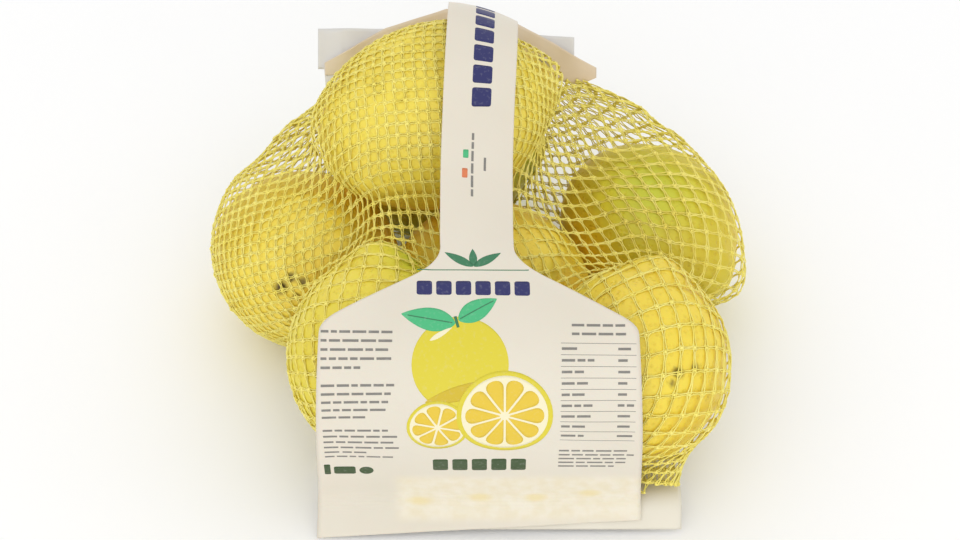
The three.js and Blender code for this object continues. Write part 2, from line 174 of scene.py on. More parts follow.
# Strands of the net: two filaments side by side, which part at both ends round a knot.
STRAND_SIZES = {
    "Filament radius": 0.25, "Filament offset": 0.23, "Parting": 0.5, "Twist": 0.14,
    "Knot radius": 0.56, "Filament sides": 3,
}
PARTING_POWER, SMALLEST_KNOT, LARGEST_KNOT = 2.5, (0.85, 0.85, 0.6), (1.35, 1.2, 0.85)
NET_PIECES = ("net_right", "net_top", "net_left", "net_under_left", "net_under", "net_under_right")
LOWEST_STRAND = STRAND_SIZES["Filament radius"] + STRAND_SIZES["Twist"]

# Label outline, from its middle line and its lower edge.
LABEL_MIDDLE_X = -0.2
STRIP_DRIFTS = (((100, 125), -0.9), ((140, 215), 2.2))
LABEL_FOOT_WIDTH, LABEL_SHOULDER_WIDTH, STRIP_WIDTH = 108, 100, 23.6
SHOULDER_CORNER, NECK_CORNER = 5, 10
SHOULDER_AT, NECK_AT = 89.5, 112
FOOT_SLANT_RISE, FOOT_SLANT_FADES = 6, 30

# The label's path in the Y-Z plane, and how it leans sideways along it.
LABEL_FOOT, LABEL_WELD = (-98.8, 0.9), (-90.2, 11.5)
LOWER_BEND, LOWER_BEND_END = ((-58.8, 46.6), 37.2), math.radians(100)
UPPER_BEND, UPPER_BEND_START = ((21.9, 84.7), 34.6), math.radians(140)
STRIP_TURN, STRIP_FOLD, STRIP_END = (56.4, 76.5), (57.4, 73.4), (68, 74.8)
CORNER_STARTS, CORNER_ENDS, BETWEEN_BENDS_EASE = 0.55, 0.25, 1 / 3
CURVE_STEPS, STRAIGHT_STEPS, BEND_STEPS = 160, 60, 200
LOWER_LEAN = dict(slope=-0.032, curve=0, comes=(48, 70), goes=(90, 120))
UPPER_LEAN = dict(slope=-0.28, curve=-0.01, comes=(112, 142), goes=(-34, -14))
LABEL_THICKNESS, LABEL_COLUMNS = 0.16, 60
WELD_ROWS_STEP, LABEL_ROWS_STEP, WELD_ENDS_AT = 0.4, 1.2, 20

# Wrinkles of the label: height, and two waves that cross, each as its turn for a millimetre
# across and along the label and its start. Then its curled edges and the ribs of its weld, with
# the stretches along it over which they come and go.
WRINKLES = [
    (0.16, (1 / 9.5, 0, 0.6), (0, 1 / 13, 1)),
    (0.06, (0.8 / 4.1, 1 / 4.1, 0), (-1 / 17, 1 / 17, 0)),
]
FLATTER_ON_STRIP, STRIP_COMES = 0.6, (112, 125)
EDGE_CURL, CURL_STARTS, CURL_ALONG = 0.25, 0.86, ((20, 40), (200, 215))
RIB_HEIGHT, RIB_PITCH, RIBS_ALONG = 0.05, 1.6, ((8.5, 9.5), (16.5, 17.5))

# Where the net shows through the label's foot, and the spots where it is sealed to it.
NET_SHOWS_FROM, NET_SHOWS_ALONG = (-30, -24), ((4, 8), (24, 30))
SEAL_SPOTS = [(-19.8, 13), (0.2, 14.6), (18.8, 14.6), (36.5, 16.6)]
SEAL_HALF_WIDTH, SEAL_HALF_HEIGHT, TINT_STRENGTH = 3.8, 1.8, 0.8

# Print. Places on the label are (sideways from its middle line, distance from its lower edge).
INKS = {
    "navy": (0.03, 0.032, 0.13),
    "green": (0.075, 0.48, 0.21),
    "dark_green": (0.05, 0.20, 0.10),
    "yellow": (0.70, 0.60, 0.045),
    "deep_yellow": (0.62, 0.46, 0.03),
    "flesh": (0.76, 0.54, 0.05),
    "pith": (0.86, 0.80, 0.55),
    "olive": (0.045, 0.085, 0.028),
    "grey": (0.22, 0.21, 0.19),
    "orange": (0.70, 0.21, 0.09),
}
INK_GRID_STEP, LEAST_DISC_STEPS, LEAST_BLOCK_STEPS = 1.1, 12, 14
LEAF_STEPS, LEAF_STEPS_ACROSS, SEGMENT_STEPS, SEGMENT_STEPS_ACROSS = 26, 8, 14, 5
INK_ABOVE_FILM, INK_LAYER = 0.10, 0.015
LEAST_BLADE, BLOCK_CORNER = 0.02, 0.8
PITH_REACH, SEGMENT_REACH, SEGMENT_ROUNDS, SEGMENT_GAP = 0.9, (0.1, 0.82), 0.7, 0.75
SMALL_PRINT_SIZES = {"Bar height": 0.8, "Bar depth": 0.06}
WORD_LENGTHS, WORD_GAP, WORD_PROBE = (1.8, 5.2), 0.75, 0.2

# Bands. The top one and the film behind it have a front edge, a slope, and at places along them
# how far they drop below that edge and reach back. The bottom one follows a bent path.
TOP_BAND = dict(
    start=-56, end=42, front=(55.4, 72.1), slope=62, drops={18: 0, 36: 3.6, 42: 1},
    reaches={-56: 4.5, -44: 11.5, -34: 17, -23: 20.5, -12: 24, 0: 21.5, 13: 19, 26: 12, 36: 6, 42: 2.5},
    across_steps=140, along_steps=16)
BACK_FILM = dict(
    start=-58.5, end=34, front=(57.2, 73.4), slope=45,
    drops={-56.2: 0, -55.6: 7.6, -50: 7.2, -49.2: 0},
    reaches={-58.5: 14.6, -20: 14.6, 20: 12.4, 34: 11.4},
    across_steps=160, along_steps=12)
BOTTOM_BAND = dict(
    start=-54, end=67, foot=(-96.2, 2.1), weld=(-89.3, 10.9), end_at=(-68, 6.4),
    across_steps=96, along_steps=30)
BAND_THICKNESS = 0.16

# Folds of the standing films, as height, pitch and start, and the ripple of the bottom one, as
# height and pitch across and along.
FILM_FOLDS = ((0.5, 4.3, 0), (0.35, 2.6, 1.0), (0.6, 11.0, 0))
BAND_RIPPLE = (0.05, 4.0, 5.0)

# View.
VIEW_HEIGHT_ANGLE = math.radians(45)
VIEW_DISTANCE, VIEW_TARGET = 735, np.array([0, 0, 28.0])
LENS_LENGTH, SENSOR_WIDTH = 77.2, 36
VIEW_RIGHT = np.array([1.0, 0, 0])
VIEW_UP = np.array([0, math.sin(VIEW_HEIGHT_ANGLE), math.cos(VIEW_HEIGHT_ANGLE)])
VIEW_BACK = np.cross(VIEW_RIGHT, VIEW_UP)

# Floor, and lights: place, size and power.
FLOOR_HALF = 3000
WORLD_LIGHT, LIGHTS_TARGET = 0.975, (0, 0, 40)
LIGHTS = {
    "key": ((-380, -620, 820), 700, 0.45),
    "front": ((60, -900, 330), 900, 1.2),
    "back": ((60, 700, 820), 700, 0.15),
}

SEED = 11


# ---------------------------------------------------------------------------------------------
# Making meshes

def in_frame(points):
    """Layout millimetres to metres in the part's frame."""
    return (np.asarray(points, float) + MIDDLE_SHIFT) * MILLIMETRE


def add_object(name, data):
    thing = bpy.data.objects.new(name, data)
    bpy.context.scene.collection.objects.link(thing)
    return thing


def make_piece(name, points, faces, material, smooth=True):
    mesh = bpy.data.meshes.new(name)
    mesh.from_pydata(in_frame(points).tolist(), [], faces)
    if smooth:
        mesh.shade_smooth()
    mesh.materials.append(material)
    return add_object(name, mesh)


def add_measure(piece, name, values):
    """Stores a number, a yes or no, or a vector for each point, for materials and trees to read."""
    values = np.asarray(values)
    kind, field = ("FLOAT_VECTOR", "vector") if values.ndim == 2 else ("FLOAT", "value")
    if values.dtype == bool:
        kind = "BOOLEAN"
    else:
        values = values.astype(np.float32)
    piece.data.attributes.new(name, kind, "POINT").data.foreach_set(field, values.ravel())


def make_guide(name, points, edges, **measures):
    """Points and edges with their measures, for a tree to work on."""
    mesh = bpy.data.meshes.new(name)
    mesh.from_pydata(in_frame(points).tolist(), edges, [])
    guide = add_object(name, mesh)
    for measure, values in measures.items():
        add_measure(guide, measure, values)
    return guide


def settle(piece, slot, *nodes):
    """Puts a finished piece on the body, in place of the nodes that it stands for."""
    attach(piece, BODY)
    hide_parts(*nodes)


def smoothstep(value, start, end):
    share = np.clip((value - start) / (end - start), 0, 1)
    return share * share * (3 - 2 * share)


def within(value, comes, goes):
    """Rises from 0 to 1 over one stretch and falls back over another."""
    return smoothstep(value, *comes) * (1 - smoothstep(value, *goes))


def bell(value, height, spread, at=0.0):
    """A height at one value, which falls off to both sides of it."""
    return height * np.exp(-((value - at) / spread) ** 2)


def unit(vectors):
    return vectors / np.maximum(norm(vectors, axis=-1, keepdims=True), NEARLY_ZERO)


def grid_faces(rows, columns, first=0, closed=False, flip=False):
    """Quads of a grid of points that is stored row by row. A closed grid joins up sideways."""
    width = columns if closed else columns + 1
    row, column = np.mgrid[:rows, :columns].reshape(2, -1)
    a, b = (first + row * width + place for place in (column, (column + 1) % width))
    quads = np.stack([a, b, b + width, a + width], -1)
    return (quads[:, ::-1] if flip else quads).tolist()


# ---------------------------------------------------------------------------------------------
# Lemons

def long_axis(heading, lift):
    heading, lift = math.radians(heading), math.radians(lift)
    return np.array([
        math.cos(heading) * math.cos(lift),
        math.sin(heading) * math.cos(lift),
        math.sin(lift),
    ])


def lemon_reach(lemon, angle):
    """Distance from a lemon's middle to its rind, at an angle from its pointed end."""
    half_length = (lemon["length"] - TIP_HEIGHT - STALK_HEIGHT) / 2
    body = 1 / np.hypot(np.cos(angle) / half_length, np.sin(angle) / (lemon["girth"] / 2))
    tip = bell(angle, TIP_HEIGHT, TIP_SPREAD)
    return body + tip + bell(math.pi - angle, STALK_HEIGHT, STALK_SPREAD)


HEAP = {
    name: (np.array(lemon["middle"], float), long_axis(lemon["heading"], lemon["lift"]), lemon)
    for name, lemon in LEMONS.items()
}


def from_lemon(points, middle, axis, lemon):
    """The way to points from a lemon's middle, how far they are, and how far its rind is."""
    away = points - middle
    distance = np.maximum(norm(away, axis=-1), NEARLY_ZERO)
    angle = np.arccos(np.clip((away @ axis) / distance, -1, 1))
    return away, distance, lemon_reach(lemon, angle)


def waves(points, seed, lengths, count=9):
    """Smooth unevenness from -1 to 1: a few waves in random directions."""
    random = np.random.RandomState(seed)
    total = np.zeros(points.shape[:-1])
    for _ in range(count):
        direction = unit(random.normal(size=3))
        length = random.uniform(*lengths)
        total += np.sin(points @ direction * 2 * math.pi / length + random.uniform(0, 2 * math.pi))
    return total / math.sqrt(count) / WAVE_SIZE


def make_lemon(name, seed, material):
    middle, axis, lemon = HEAP[name]
    side = unit(np.cross(axis, ASKEW))
    other = np.cross(axis, side)
    angle, turn = np.meshgrid(
        np.linspace(0, math.pi, LEMON_RINGS + 1)[1:-1],
        np.arange(LEMON_SIDES) * 2 * math.pi / LEMON_SIDES, indexing="ij")
    angle = np.concatenate([[0], angle.ravel(), [math.pi]])
    turn = np.concatenate([[0], turn.ravel(), [0]])
    direction = (
        np.cos(angle)[:, None] * axis
        + (np.sin(angle) * np.cos(turn))[:, None] * side
        + (np.sin(angle) * np.sin(turn))[:, None] * other
    )
    reach = lemon_reach(lemon, angle)
    place = middle + direction * reach[:, None]
    from_stalk = math.pi - angle
    uneven = BROAD_WAVES * waves(place, seed, BROAD_LENGTHS) - RIND_SINKS
    uneven += FINE_WAVES * waves(place, seed + FINE_SEED, FINE_LENGTHS)
    folds = (np.cos(FOLD_COUNT * turn + seed) - 1) * bell(from_stalk, *FOLDS)
    marks = patched(RIND_MARKS, place, MARK_SHARPNESS)
    relief = uneven + bell(angle, *NECK) + bell(from_stalk, *DIMPLE) + folds - MARK_DEPTH * marks
    points = middle + direction * (reach + relief)[:, None]

    rings = LEMON_RINGS - 1
    faces = grid_faces(rings - 1, LEMON_SIDES, first=1, closed=True)
    last = 1 + rings * LEMON_SIDES
    for column in range(LEMON_SIDES):
        following = (column + 1) % LEMON_SIDES
        faces.append((0, 1 + following, 1 + column))
        faces.append((last, last - LEMON_SIDES + column, last - LEMON_SIDES + following))
    piece = make_piece(name, points, faces, material)
    face_outwards(piece)
    ends = bell(angle, *GREEN_TIP) + bell(from_stalk, *GREEN_STALK)
    patches = 0.5 + 0.5 * waves(place, seed + GREEN_SEED, GREEN_LENGTHS, count=5)
    still_green = lemon["green"] * (GREEN_ALL_OVER + patches + ends)
    still_green += patched(GREEN_PATCHES, place, GREEN_SHARPNESS)
    for measure, values in (
        ("green", np.clip(still_green, 0, 1)),
        ("pale", np.full(len(points), lemon["pale"])),
        # Painted amber glow between lemons, standing in for light bounced between the rinds.
        ("painted_valley_glow", painted_valley_glow(name, place)),
        ("scarred", np.clip(marks, 0, 1)),
    ):
        add_measure(piece, measure, values)
    settle(piece, "lemon_in_net", "net_bag")


def painted_valley_glow(name, points):
    """How close the rind is to the next lemon, from 0 in the open to 1 where they touch: the share of
    painted amber glow between lemons.
    """
    others = [from_lemon(points, *lemon) for other, lemon in HEAP.items() if other != name]
    gap = np.min([distance - reach for _, distance, reach in others], axis=0)
    return bell(np.maximum(gap, 0), 1, PAINTED_GLOW_REACH)


def away_from(place, points):
    """How far points are from a place, with less weight along the line of sight."""
    away = points - np.array(place, float)
    away -= DEPTH_LEFT_OUT * (away @ VIEW_BACK)[..., None] * VIEW_BACK
    return norm(away, axis=-1)


def patched(patches, points, sharpness):
    """How strongly points lie in some patches, each a place, a reach and a strength."""
    total = np.zeros(len(points))
    for middle, reach, strength in patches:
        total += strength * np.exp(-(away_from(middle, points) / reach) ** sharpness)
    return total


def face_outwards(piece):
    """Turns the faces of a closed piece outwards, by the sign of its volume."""
    mesh = piece.data
    mesh.calc_loop_triangles()
    corners = np.array([mesh.vertices[i].co for t in mesh.loop_triangles for i in t.vertices])
    corners = corners.reshape(-1, 3, 3) - corners.mean(0)
    volume = np.einsum("ij,ij->i", corners[:, 0], np.cross(corners[:, 1], corners[:, 2])).sum()
    if volume < 0:
        mesh.flip_normals()


# ---------------------------------------------------------------------------------------------
# Net skin

def push_out_of_lemons(points):
    for middle, axis, lemon in HEAP.values():
        away, distance, reach = from_lemon(points, middle, axis, lemon)
        reach = reach + SKIN_STANDOFF
        inside = (distance < lemon["length"]) & (distance < reach)
        points = middle + away * np.where(inside, reach / distance, 1.0)[..., None]
    return points


def seam_row(seam, count):
    """One welded end of the net as a flat closed loop."""
    angle = 2 * math.pi * np.arange(count) / count
    face = np.sign(np.round(np.sin(angle), 6)) * WELD_THICKNESS / 2
    return np.stack([
        (seam["start"] + seam["end"]) / 2 + (seam["end"] - seam["start"]) / 2 * np.cos(angle),
        seam["at"][0] + seam["across"][0] * face,
        seam["at"][1] + seam["across"][1] * face,
    ], -1)


def loose_tube(around, along):
    turn, rise = np.meshgrid(
        2 * math.pi * np.arange(around) / around,
        math.pi * np.arange(along + 1) / along,
    )
    across, lengthwise, up = TUBE_HALF
    x = across * np.sin(rise) * np.cos(turn)
    y = -lengthwise * np.cos(rise)
    z = up * np.sin(rise) * np.sin(turn)
    c, s = math.cos(math.radians(TUBE_PITCH)), math.sin(math.radians(TUBE_PITCH))
    rows = np.stack([x, y * c - z * s, y * s + z * c], -1) + TUBE_MIDDLE
    return with_seams(rows)


def with_seams(rows):
    rows[0] = seam_row(BOTTOM_SEAM, rows.shape[1])
    rows[-1] = seam_row(TOP_SEAM, rows.shape[1])
    return rows


def clear_of_seams(rows):
    """How far each row is clear of both seams, from 0 at a seam to 1."""
    rise = np.linspace(0, 1, len(rows))
    return np.clip(np.minimum(rise, 1 - rise) / SEAM_HOLDS, 0, 1)[:, None]


def slack_share(points, middle, reach):
    return bell(norm(points - np.array(middle, float), axis=-1), 1, reach)


def pull_tight(rows, passes, sink):
    """Each pass pulls every point towards its neighbours, sinks it where the net isn't slack, and
    puts it back out of the lemons and the floor."""
    clear = clear_of_seams(rows)[1:-1]
    for _ in range(passes):
        inner, before, after = rows[1:-1], np.roll(rows, 1, 1)[1:-1], np.roll(rows, -1, 1)[1:-1]
        mean = (rows[:-2] + rows[2:] + before + after) / 4
        moved = inner + PULL_PER_PASS * (mean - inner)
        if sink:
            outward = unit(np.cross(rows[2:] - rows[:-2], after - before))
            slack = np.max([slack_share(inner, *spot[:2]) for spot in SLACK], axis=0)
            moved -= outward * (sink * clear * (1 - slack))[..., None]
        moved = push_out_of_lemons(moved)
        moved[..., 2] = np.maximum(moved[..., 2], 0)
        rows = np.concatenate([rows[:1], moved, rows[-1:]])
    return rows


def refine(rows):
    """Twice as many rows and columns, with the new points halfway between the old ones."""
    wide = np.stack([rows, (rows + np.roll(rows, -1, 1)) / 2], 2).reshape(len(rows), -1, 3)
    fine = np.empty((2 * len(rows) - 1, wide.shape[1], 3))
    fine[::2], fine[1::2] = wide, (wide[:-1] + wide[1:]) / 2
    return with_seams(fine)


def hang_slack(rows):
    for middle, reach, out in SLACK:
        shift = out * clear_of_seams(rows) * slack_share(rows, middle, reach)
        rows = rows + unit(rows - HEAP_MIDDLE) * shift[..., None]
    rows[..., 2] = np.maximum(rows[..., 2], 0)
    return rows


def tuck_in(rows):
    normal = Skin(rows).normal
    for middle, reach, depth in TUCKS:
        rows = rows - normal * (depth * slack_share(rows, middle, reach))[..., None]
    return push_out_of_lemons(rows)


def net_skin():
    rows = pull_tight(loose_tube(SKIN_AROUND, SKIN_ALONG), COARSE_PASSES, 0)
    rows = pull_tight(refine(rows), MIDDLE_PASSES, MIDDLE_SINK)
    rows = pull_tight(refine(rows), FINE_PASSES, FINE_SINK)
    return tuck_in(hang_slack(rows))


# ---------------------------------------------------------------------------------------------
# Threads: two families of lines on the skin. Lengthwise threads run from seam to seam, and
# crosswise ones run round the net. Each family is the whole-number levels of a smooth field.

def heading_on(normal, heading):
    """The direction along a surface that is seen from the front under a heading."""
    heading = math.radians(heading)
    seen = math.cos(heading) * VIEW_RIGHT + math.sin(heading) * VIEW_UP
    depth = np.clip(-(normal @ seen) / (normal @ VIEW_BACK), -STEEPEST_VIEW, STEEPEST_VIEW)
    along = seen + depth * VIEW_BACK
    return unit(along - normal * (along @ normal))


class Skin:
    """The net's skin with its directions, sides and normals."""

    def __init__(self, rows):
        self.rows = rows
        self.around = (np.roll(rows, -1, 1) - np.roll(rows, 1, 1)) / 2
        self.along = np.gradient(rows, axis=0)
        self.normal = -unit(np.cross(self.around, self.along))

    def at(self, column, row):
        """Points on the skin at fractional columns and rows."""
        last = len(self.rows) - 1
        row = np.clip(row, 0, last)
        low = np.minimum(row.astype(int), last - 1)
        left = np.floor(column).astype(int)
        up, right = (row - low)[:, None], (column - left)[:, None]
        count = self.rows.shape[1]
        a, b = left % count, (left + 1) % count
        lower = self.rows[low, a] * (1 - right) + self.rows[low, b] * right
        upper = self.rows[low + 1, a] * (1 - right) + self.rows[low + 1, b] * right
        return lower * (1 - up) + upper * up


def thread_slopes(skin):
    """How fast each family's level changes along the skin, and how firmly that is wanted."""
    rows, normal = skin.rows, skin.normal
    firmness = np.full(rows.shape[:2], FREE_PULL)
    crosswise = -unit(skin.around) * FREE_PULL
    lengthwise = -unit(skin.along) * FREE_PULL
    across_side, along_side = firmness * FREE_MESH_SIDE, firmness * FREE_MESH_SIDE
    for x, y, z, across, along, side_across, side_along, hold in PULLS:
        distance = away_from((x, y, z), rows) + FAR_SIDE * (normal @ VIEW_BACK < 0)
        here = np.unravel_index(np.argmin(distance), distance.shape)
        facing = np.clip(normal @ normal[here] * FACING_SLOPE + FACING_SHIFT, 0, 1)
        share = bell(distance, 1, hold) * facing
        crosswise += share[..., None] * heading_on(normal[here], across)
        lengthwise += share[..., None] * heading_on(normal[here], along)
        across_side += share * side_across
        along_side += share * side_along
        firmness += share
    crosswise, lengthwise = (
        unit(heading - normal * (heading * normal).sum(-1, keepdims=True))
        for heading in (crosswise, lengthwise)
    )
    slopes = []
    for along_it, beside_it, side in (
        (crosswise, lengthwise, across_side / firmness),
        (lengthwise, crosswise, along_side / firmness),
    ):
        square = np.cross(normal, beside_it)
        share = (along_it * square).sum(-1)
        share = np.sign(share) * np.maximum(np.abs(share), LEAST_SQUARENESS)
        slopes.append(square / (share * side)[..., None])
    return slopes, np.minimum(firmness, 1.0)


def level_field(skin, slope, firmness, once_round):
    """The smooth field on the skin whose slope comes nearest to the wanted one."""
    rows = skin.rows
    sideways, upwards = np.roll(rows, -1, 1) - rows, rows[1:] - rows[:-1]
    wide, high = norm(sideways, axis=-1), norm(upwards, axis=-1)
    row_height = np.concatenate([high[:1], (high[1:] + high[:-1]) / 2, high[-1:]])
    column_width = (wide[1:] + wide[:-1]) / 2
    weight_side = row_height / np.maximum(wide, SHORTEST_SIDE)
    weight_side *= (firmness + np.roll(firmness, -1, 1)) / 2
    weight_side[[0, -1]] /= 2
    weight_up = column_width / np.maximum(high, SHORTEST_SIDE) * (firmness[1:] + firmness[:-1]) / 2
    wanted_side = ((slope + np.roll(slope, -1, 1)) / 2 * sideways).sum(-1)
    wanted_side[:, -1] -= once_round
    wanted_up = ((slope[1:] + slope[:-1]) / 2 * upwards).sum(-1)

    def spread(side, up):
        out = np.roll(side, 1, 1) - side
        out[1:] += up
        out[:-1] -= up
        return out

    def stiffness(field):
        return spread(
            (np.roll(field, -1, 1) - field) * weight_side,
            (field[1:] - field[:-1]) * weight_up,
        )

    diagonal = weight_side + np.roll(weight_side, 1, 1)
    diagonal[1:] += weight_up
    diagonal[:-1] += weight_up
    rest = spread(wanted_side * weight_side, wanted_up * weight_up)
    field = np.zeros_like(rest)
    start = np.abs(rest).max()
    step = rest / diagonal
    product = (rest * step).sum()
    for _ in range(FIELD_PASSES):
        pushed = stiffness(step)
        share = product / (step * pushed).sum()
        field += share * step
        rest = rest - share * pushed
        if np.abs(rest).max() < FIELD_TOLERANCE * start:
            break
        eased = rest / diagonal
        following = (rest * eased).sum()
        step, product = eased + following / product * step, following
    return field


def thread_crossings(lengthwise, crosswise, once_round):
    """Where threads cross: {(lengthwise number, crosswise number): (column, row)}."""
    rows, columns = lengthwise.shape
    first = np.concatenate([lengthwise, lengthwise[:, :1] + once_round], 1)
    second = np.concatenate([crosswise, crosswise[:, :1]], 1)
    row, column = np.meshgrid(np.arange(rows - 1), np.arange(columns), indexing="ij")
    found = {}
    for corners in (((0, 0), (1, 0), (0, 1)), ((1, 0), (1, 1), (0, 1))):
        p = np.stack([first[row + up, column + side] for up, side in corners], -1)
        q = np.stack([second[row + up, column + side] for up, side in corners], -1)
        place = np.stack([np.stack([column + side, row + up], -1) for up, side in corners], -2)
        low_p, low_q = np.ceil(p.min(-1)), np.ceil(q.min(-1))
        p_1, p_2, q_1, q_2 = (field[..., at] - field[..., 0] for field in (p, q) for at in (1, 2))
        area = p_1 * q_2 - q_1 * p_2
        area = np.where(np.abs(area) < LEAST_AREA, LEAST_AREA, area)
        for extra_p in range(int((p.max(-1) - low_p).max()) + 1):
            for extra_q in range(int((q.max(-1) - low_q).max()) + 1):
                m, n = low_p + extra_p, low_q + extra_q
                x, y = m - p[..., 0], n - q[..., 0]
                s, t = (x * q_2 - y * p_2) / area, (p_1 * y - q_1 * x) / area
                for k in map(tuple, np.argwhere((s >= 0) & (t >= 0) & (s + t <= 1))):
                    a, b, c = place[k]
                    key = (int(m[k]) % abs(once_round), int(n[k]))
                    found.setdefault(key, a + s[k] * (b - a) + t[k] * (c - a))
    return found


def lay_threads(skin):
    (slope_across, slope_along), firmness = thread_slopes(skin)
    once_round = -LENGTHWISE_THREADS
    lengthwise = level_field(skin, slope_across, firmness, once_round) + THREAD_START
    crosswise = level_field(skin, slope_along, firmness, 0)
    return thread_crossings(lengthwise, crosswise - crosswise.min(), once_round)


def strands_between(crossings, skin):
    """Pairs of neighbouring crossings, as places at both ends that don't wrap round."""
    columns = skin.rows.shape[1]
    strands = []
    for (m, n), (column, row) in crossings.items():
        for neighbour in (((m + 1) % LENGTHWISE_THREADS, n), (m, n + 1)):
            if neighbour in crossings:
                column_to, row_to = crossings[neighbour]
                turn = column_to - column
                turn -= columns * round(turn / columns)
                strands.append(((m, n), neighbour, column, row, column + turn, row_to))
    return strands


# ---------------------------------------------------------------------------------------------
# Node trees

class Nodes:
    """A node tree that is added to node by node."""

    def __init__(self, tree):
        self.tree = tree

    def feed(self, socket, value):
        """Links another socket into a socket, or sets it to a plain value."""
        if isinstance(value, bpy.types.NodeSocket):
            self.tree.links.new(value, socket)
        else:
            socket.default_value = value

    def add(self, kind, inputs=(), **settings):
        """Adds a node with its settings and then its inputs, and gives back its outputs."""
        node = self.tree.nodes.new(kind)
        for name, value in settings.items():
            setattr(node, name, value)
        for socket, value in dict(inputs).items():
            self.feed(node.inputs[socket], value)
        return node.outputs

    def maths(self, operation, *values):
        return self.add("ShaderNodeMath", enumerate(values), operation=operation)[0]

    def vectors(self, operation, *values, **named):
        inputs = {**dict(enumerate(values)), **named}
        return self.add("ShaderNodeVectorMath", inputs, operation=operation)[0]


class GrowingNodes(Nodes):
    """A Geometry Nodes tree that takes a geometry, named lengths and named whole numbers."""

    def __init__(self, name, sizes):
        super().__init__(bpy.data.node_groups.new(name, "GeometryNodeTree"))
        self.add_socket("Geometry", "INPUT", "Geometry")
        for size, value in sizes.items():
            self.add_socket(size, "INPUT", "Int" if isinstance(value, int) else "Float")
        self.add_socket("Geometry", "OUTPUT", "Geometry")
        self.given = self.add("NodeGroupInput")

    def add_socket(self, name, in_out, kind):
        self.tree.interface.new_socket(name, in_out=in_out, socket_type="NodeSocket" + kind)

    def measure(self, name, kind="FLOAT_VECTOR"):
        node = self.add("GeometryNodeInputNamedAttribute", {"Name": name}, data_type=kind)
        return node["Attribute"]

    def close(self, geometry, material, smooth):
        """Makes what has grown into one geometry with its material, and gives it out."""
        real = self.add("GeometryNodeRealizeInstances", {"Geometry": geometry})
        if smooth:
            real = self.add("GeometryNodeSetShadeSmooth", {"Geometry": real["Geometry"]})
        inputs = {"Geometry": real["Geometry"], "Material": material}
        done = self.add("GeometryNodeSetMaterial", inputs)
        self.add("NodeGroupOutput", {"Geometry": done["Geometry"]})


def grow(name, guide, tree, sizes, material):
    """Runs a tree on a guide mesh, with lengths in millimetres and whole numbers, and keeps the
    result as one plain piece."""
    modifier = guide.modifiers.new(tree.name, "NODES")
    modifier.node_group = tree
    for item in tree.interface.items_tree:
        if item.in_out == "INPUT" and item.name in sizes:
            size = sizes[item.name]
            modifier[item.identifier] = size if isinstance(size, int) else size * MILLIMETRE
    evaluated = guide.evaluated_get(bpy.context.evaluated_depsgraph_get())
    mesh = bpy.data.meshes.new_from_object(evaluated)
    guide.modifiers.remove(modifier)
    bpy.data.objects.remove(guide)
    mesh.name = name
    mesh.materials.clear()
    mesh.materials.append(material)
    return add_object(name, mesh)


# ---------------------------------------------------------------------------------------------
# Net

def knitted_net_tree(material):
    """Two filaments wound along each edge of a guide mesh, and a knot at each crossing."""
    nodes = GrowingNodes("knitted_net", {**STRAND_SIZES, "Seed": SEED})
    add, maths, vectors, given = nodes.add, nodes.maths, nodes.vectors, nodes.given
    outward = nodes.measure("outward")

    lines = add("GeometryNodeMeshToCurve", {"Mesh": given["Geometry"]})
    pair = add(
        "GeometryNodeDuplicateElements", {"Geometry": lines["Curve"], "Amount": 2}, domain="SPLINE")
    along = add("GeometryNodeSplineParameter")["Factor"]
    from_middle = maths("ABSOLUTE", maths("SUBTRACT", maths("MULTIPLY", along, 2), 1))
    parting = maths("MULTIPLY", maths("POWER", from_middle, PARTING_POWER), given["Parting"])
    apart = maths("ADD", parting, given["Filament offset"])
    turn = maths("SINE", maths("MULTIPLY", along, 2 * math.pi))
    twist = maths("MULTIPLY", turn, given["Twist"])
    hand = maths("SUBTRACT", maths("MULTIPLY", pair["Duplicate Index"], 2), 1)
    tangent = add("GeometryNodeInputTangent")["Tangent"]
    side = vectors("NORMALIZE", vectors("CROSS_PRODUCT", tangent, outward))
    shift = vectors(
        "ADD",
        vectors("SCALE", side, Scale=maths("MULTIPLY", apart, hand)),
        vectors("SCALE", outward, Scale=maths("MULTIPLY", twist, hand)),
    )
    wound = add("GeometryNodeSetPosition", {"Geometry": pair["Geometry"], "Offset": shift})
    profile = add("GeometryNodeCurvePrimitiveCircle", {
        "Resolution": given["Filament sides"], "Radius": given["Filament radius"],
    }, mode="RADIUS")
    filaments = add("GeometryNodeCurveToMesh", {
        "Curve": wound["Geometry"], "Profile Curve": profile["Curve"], "Fill Caps": True})

    knot = add("GeometryNodeMeshIcoSphere", {"Subdivisions": 1, "Radius": given["Knot radius"]})
    turned = add("FunctionNodeAlignRotationToVector", {"Vector": outward}, axis="Z")
    stretched = add("FunctionNodeRandomValue", {
        "Min": SMALLEST_KNOT, "Max": LARGEST_KNOT, "Seed": given["Seed"],
    }, data_type="FLOAT_VECTOR")
    knots = add("GeometryNodeInstanceOnPoints", {
        "Points": given["Geometry"], "Selection": nodes.measure("crossing", "BOOLEAN"),
        "Instance": knot["Mesh"], "Rotation": turned["Rotation"], "Scale": stretched[0],
    })
    joined = add("GeometryNodeJoinGeometry", {"Geometry": knots["Instances"]})["Geometry"]
    nodes.feed(joined.node.inputs["Geometry"], filaments["Mesh"])
    nodes.close(joined, material, smooth=True)
    return nodes.tree


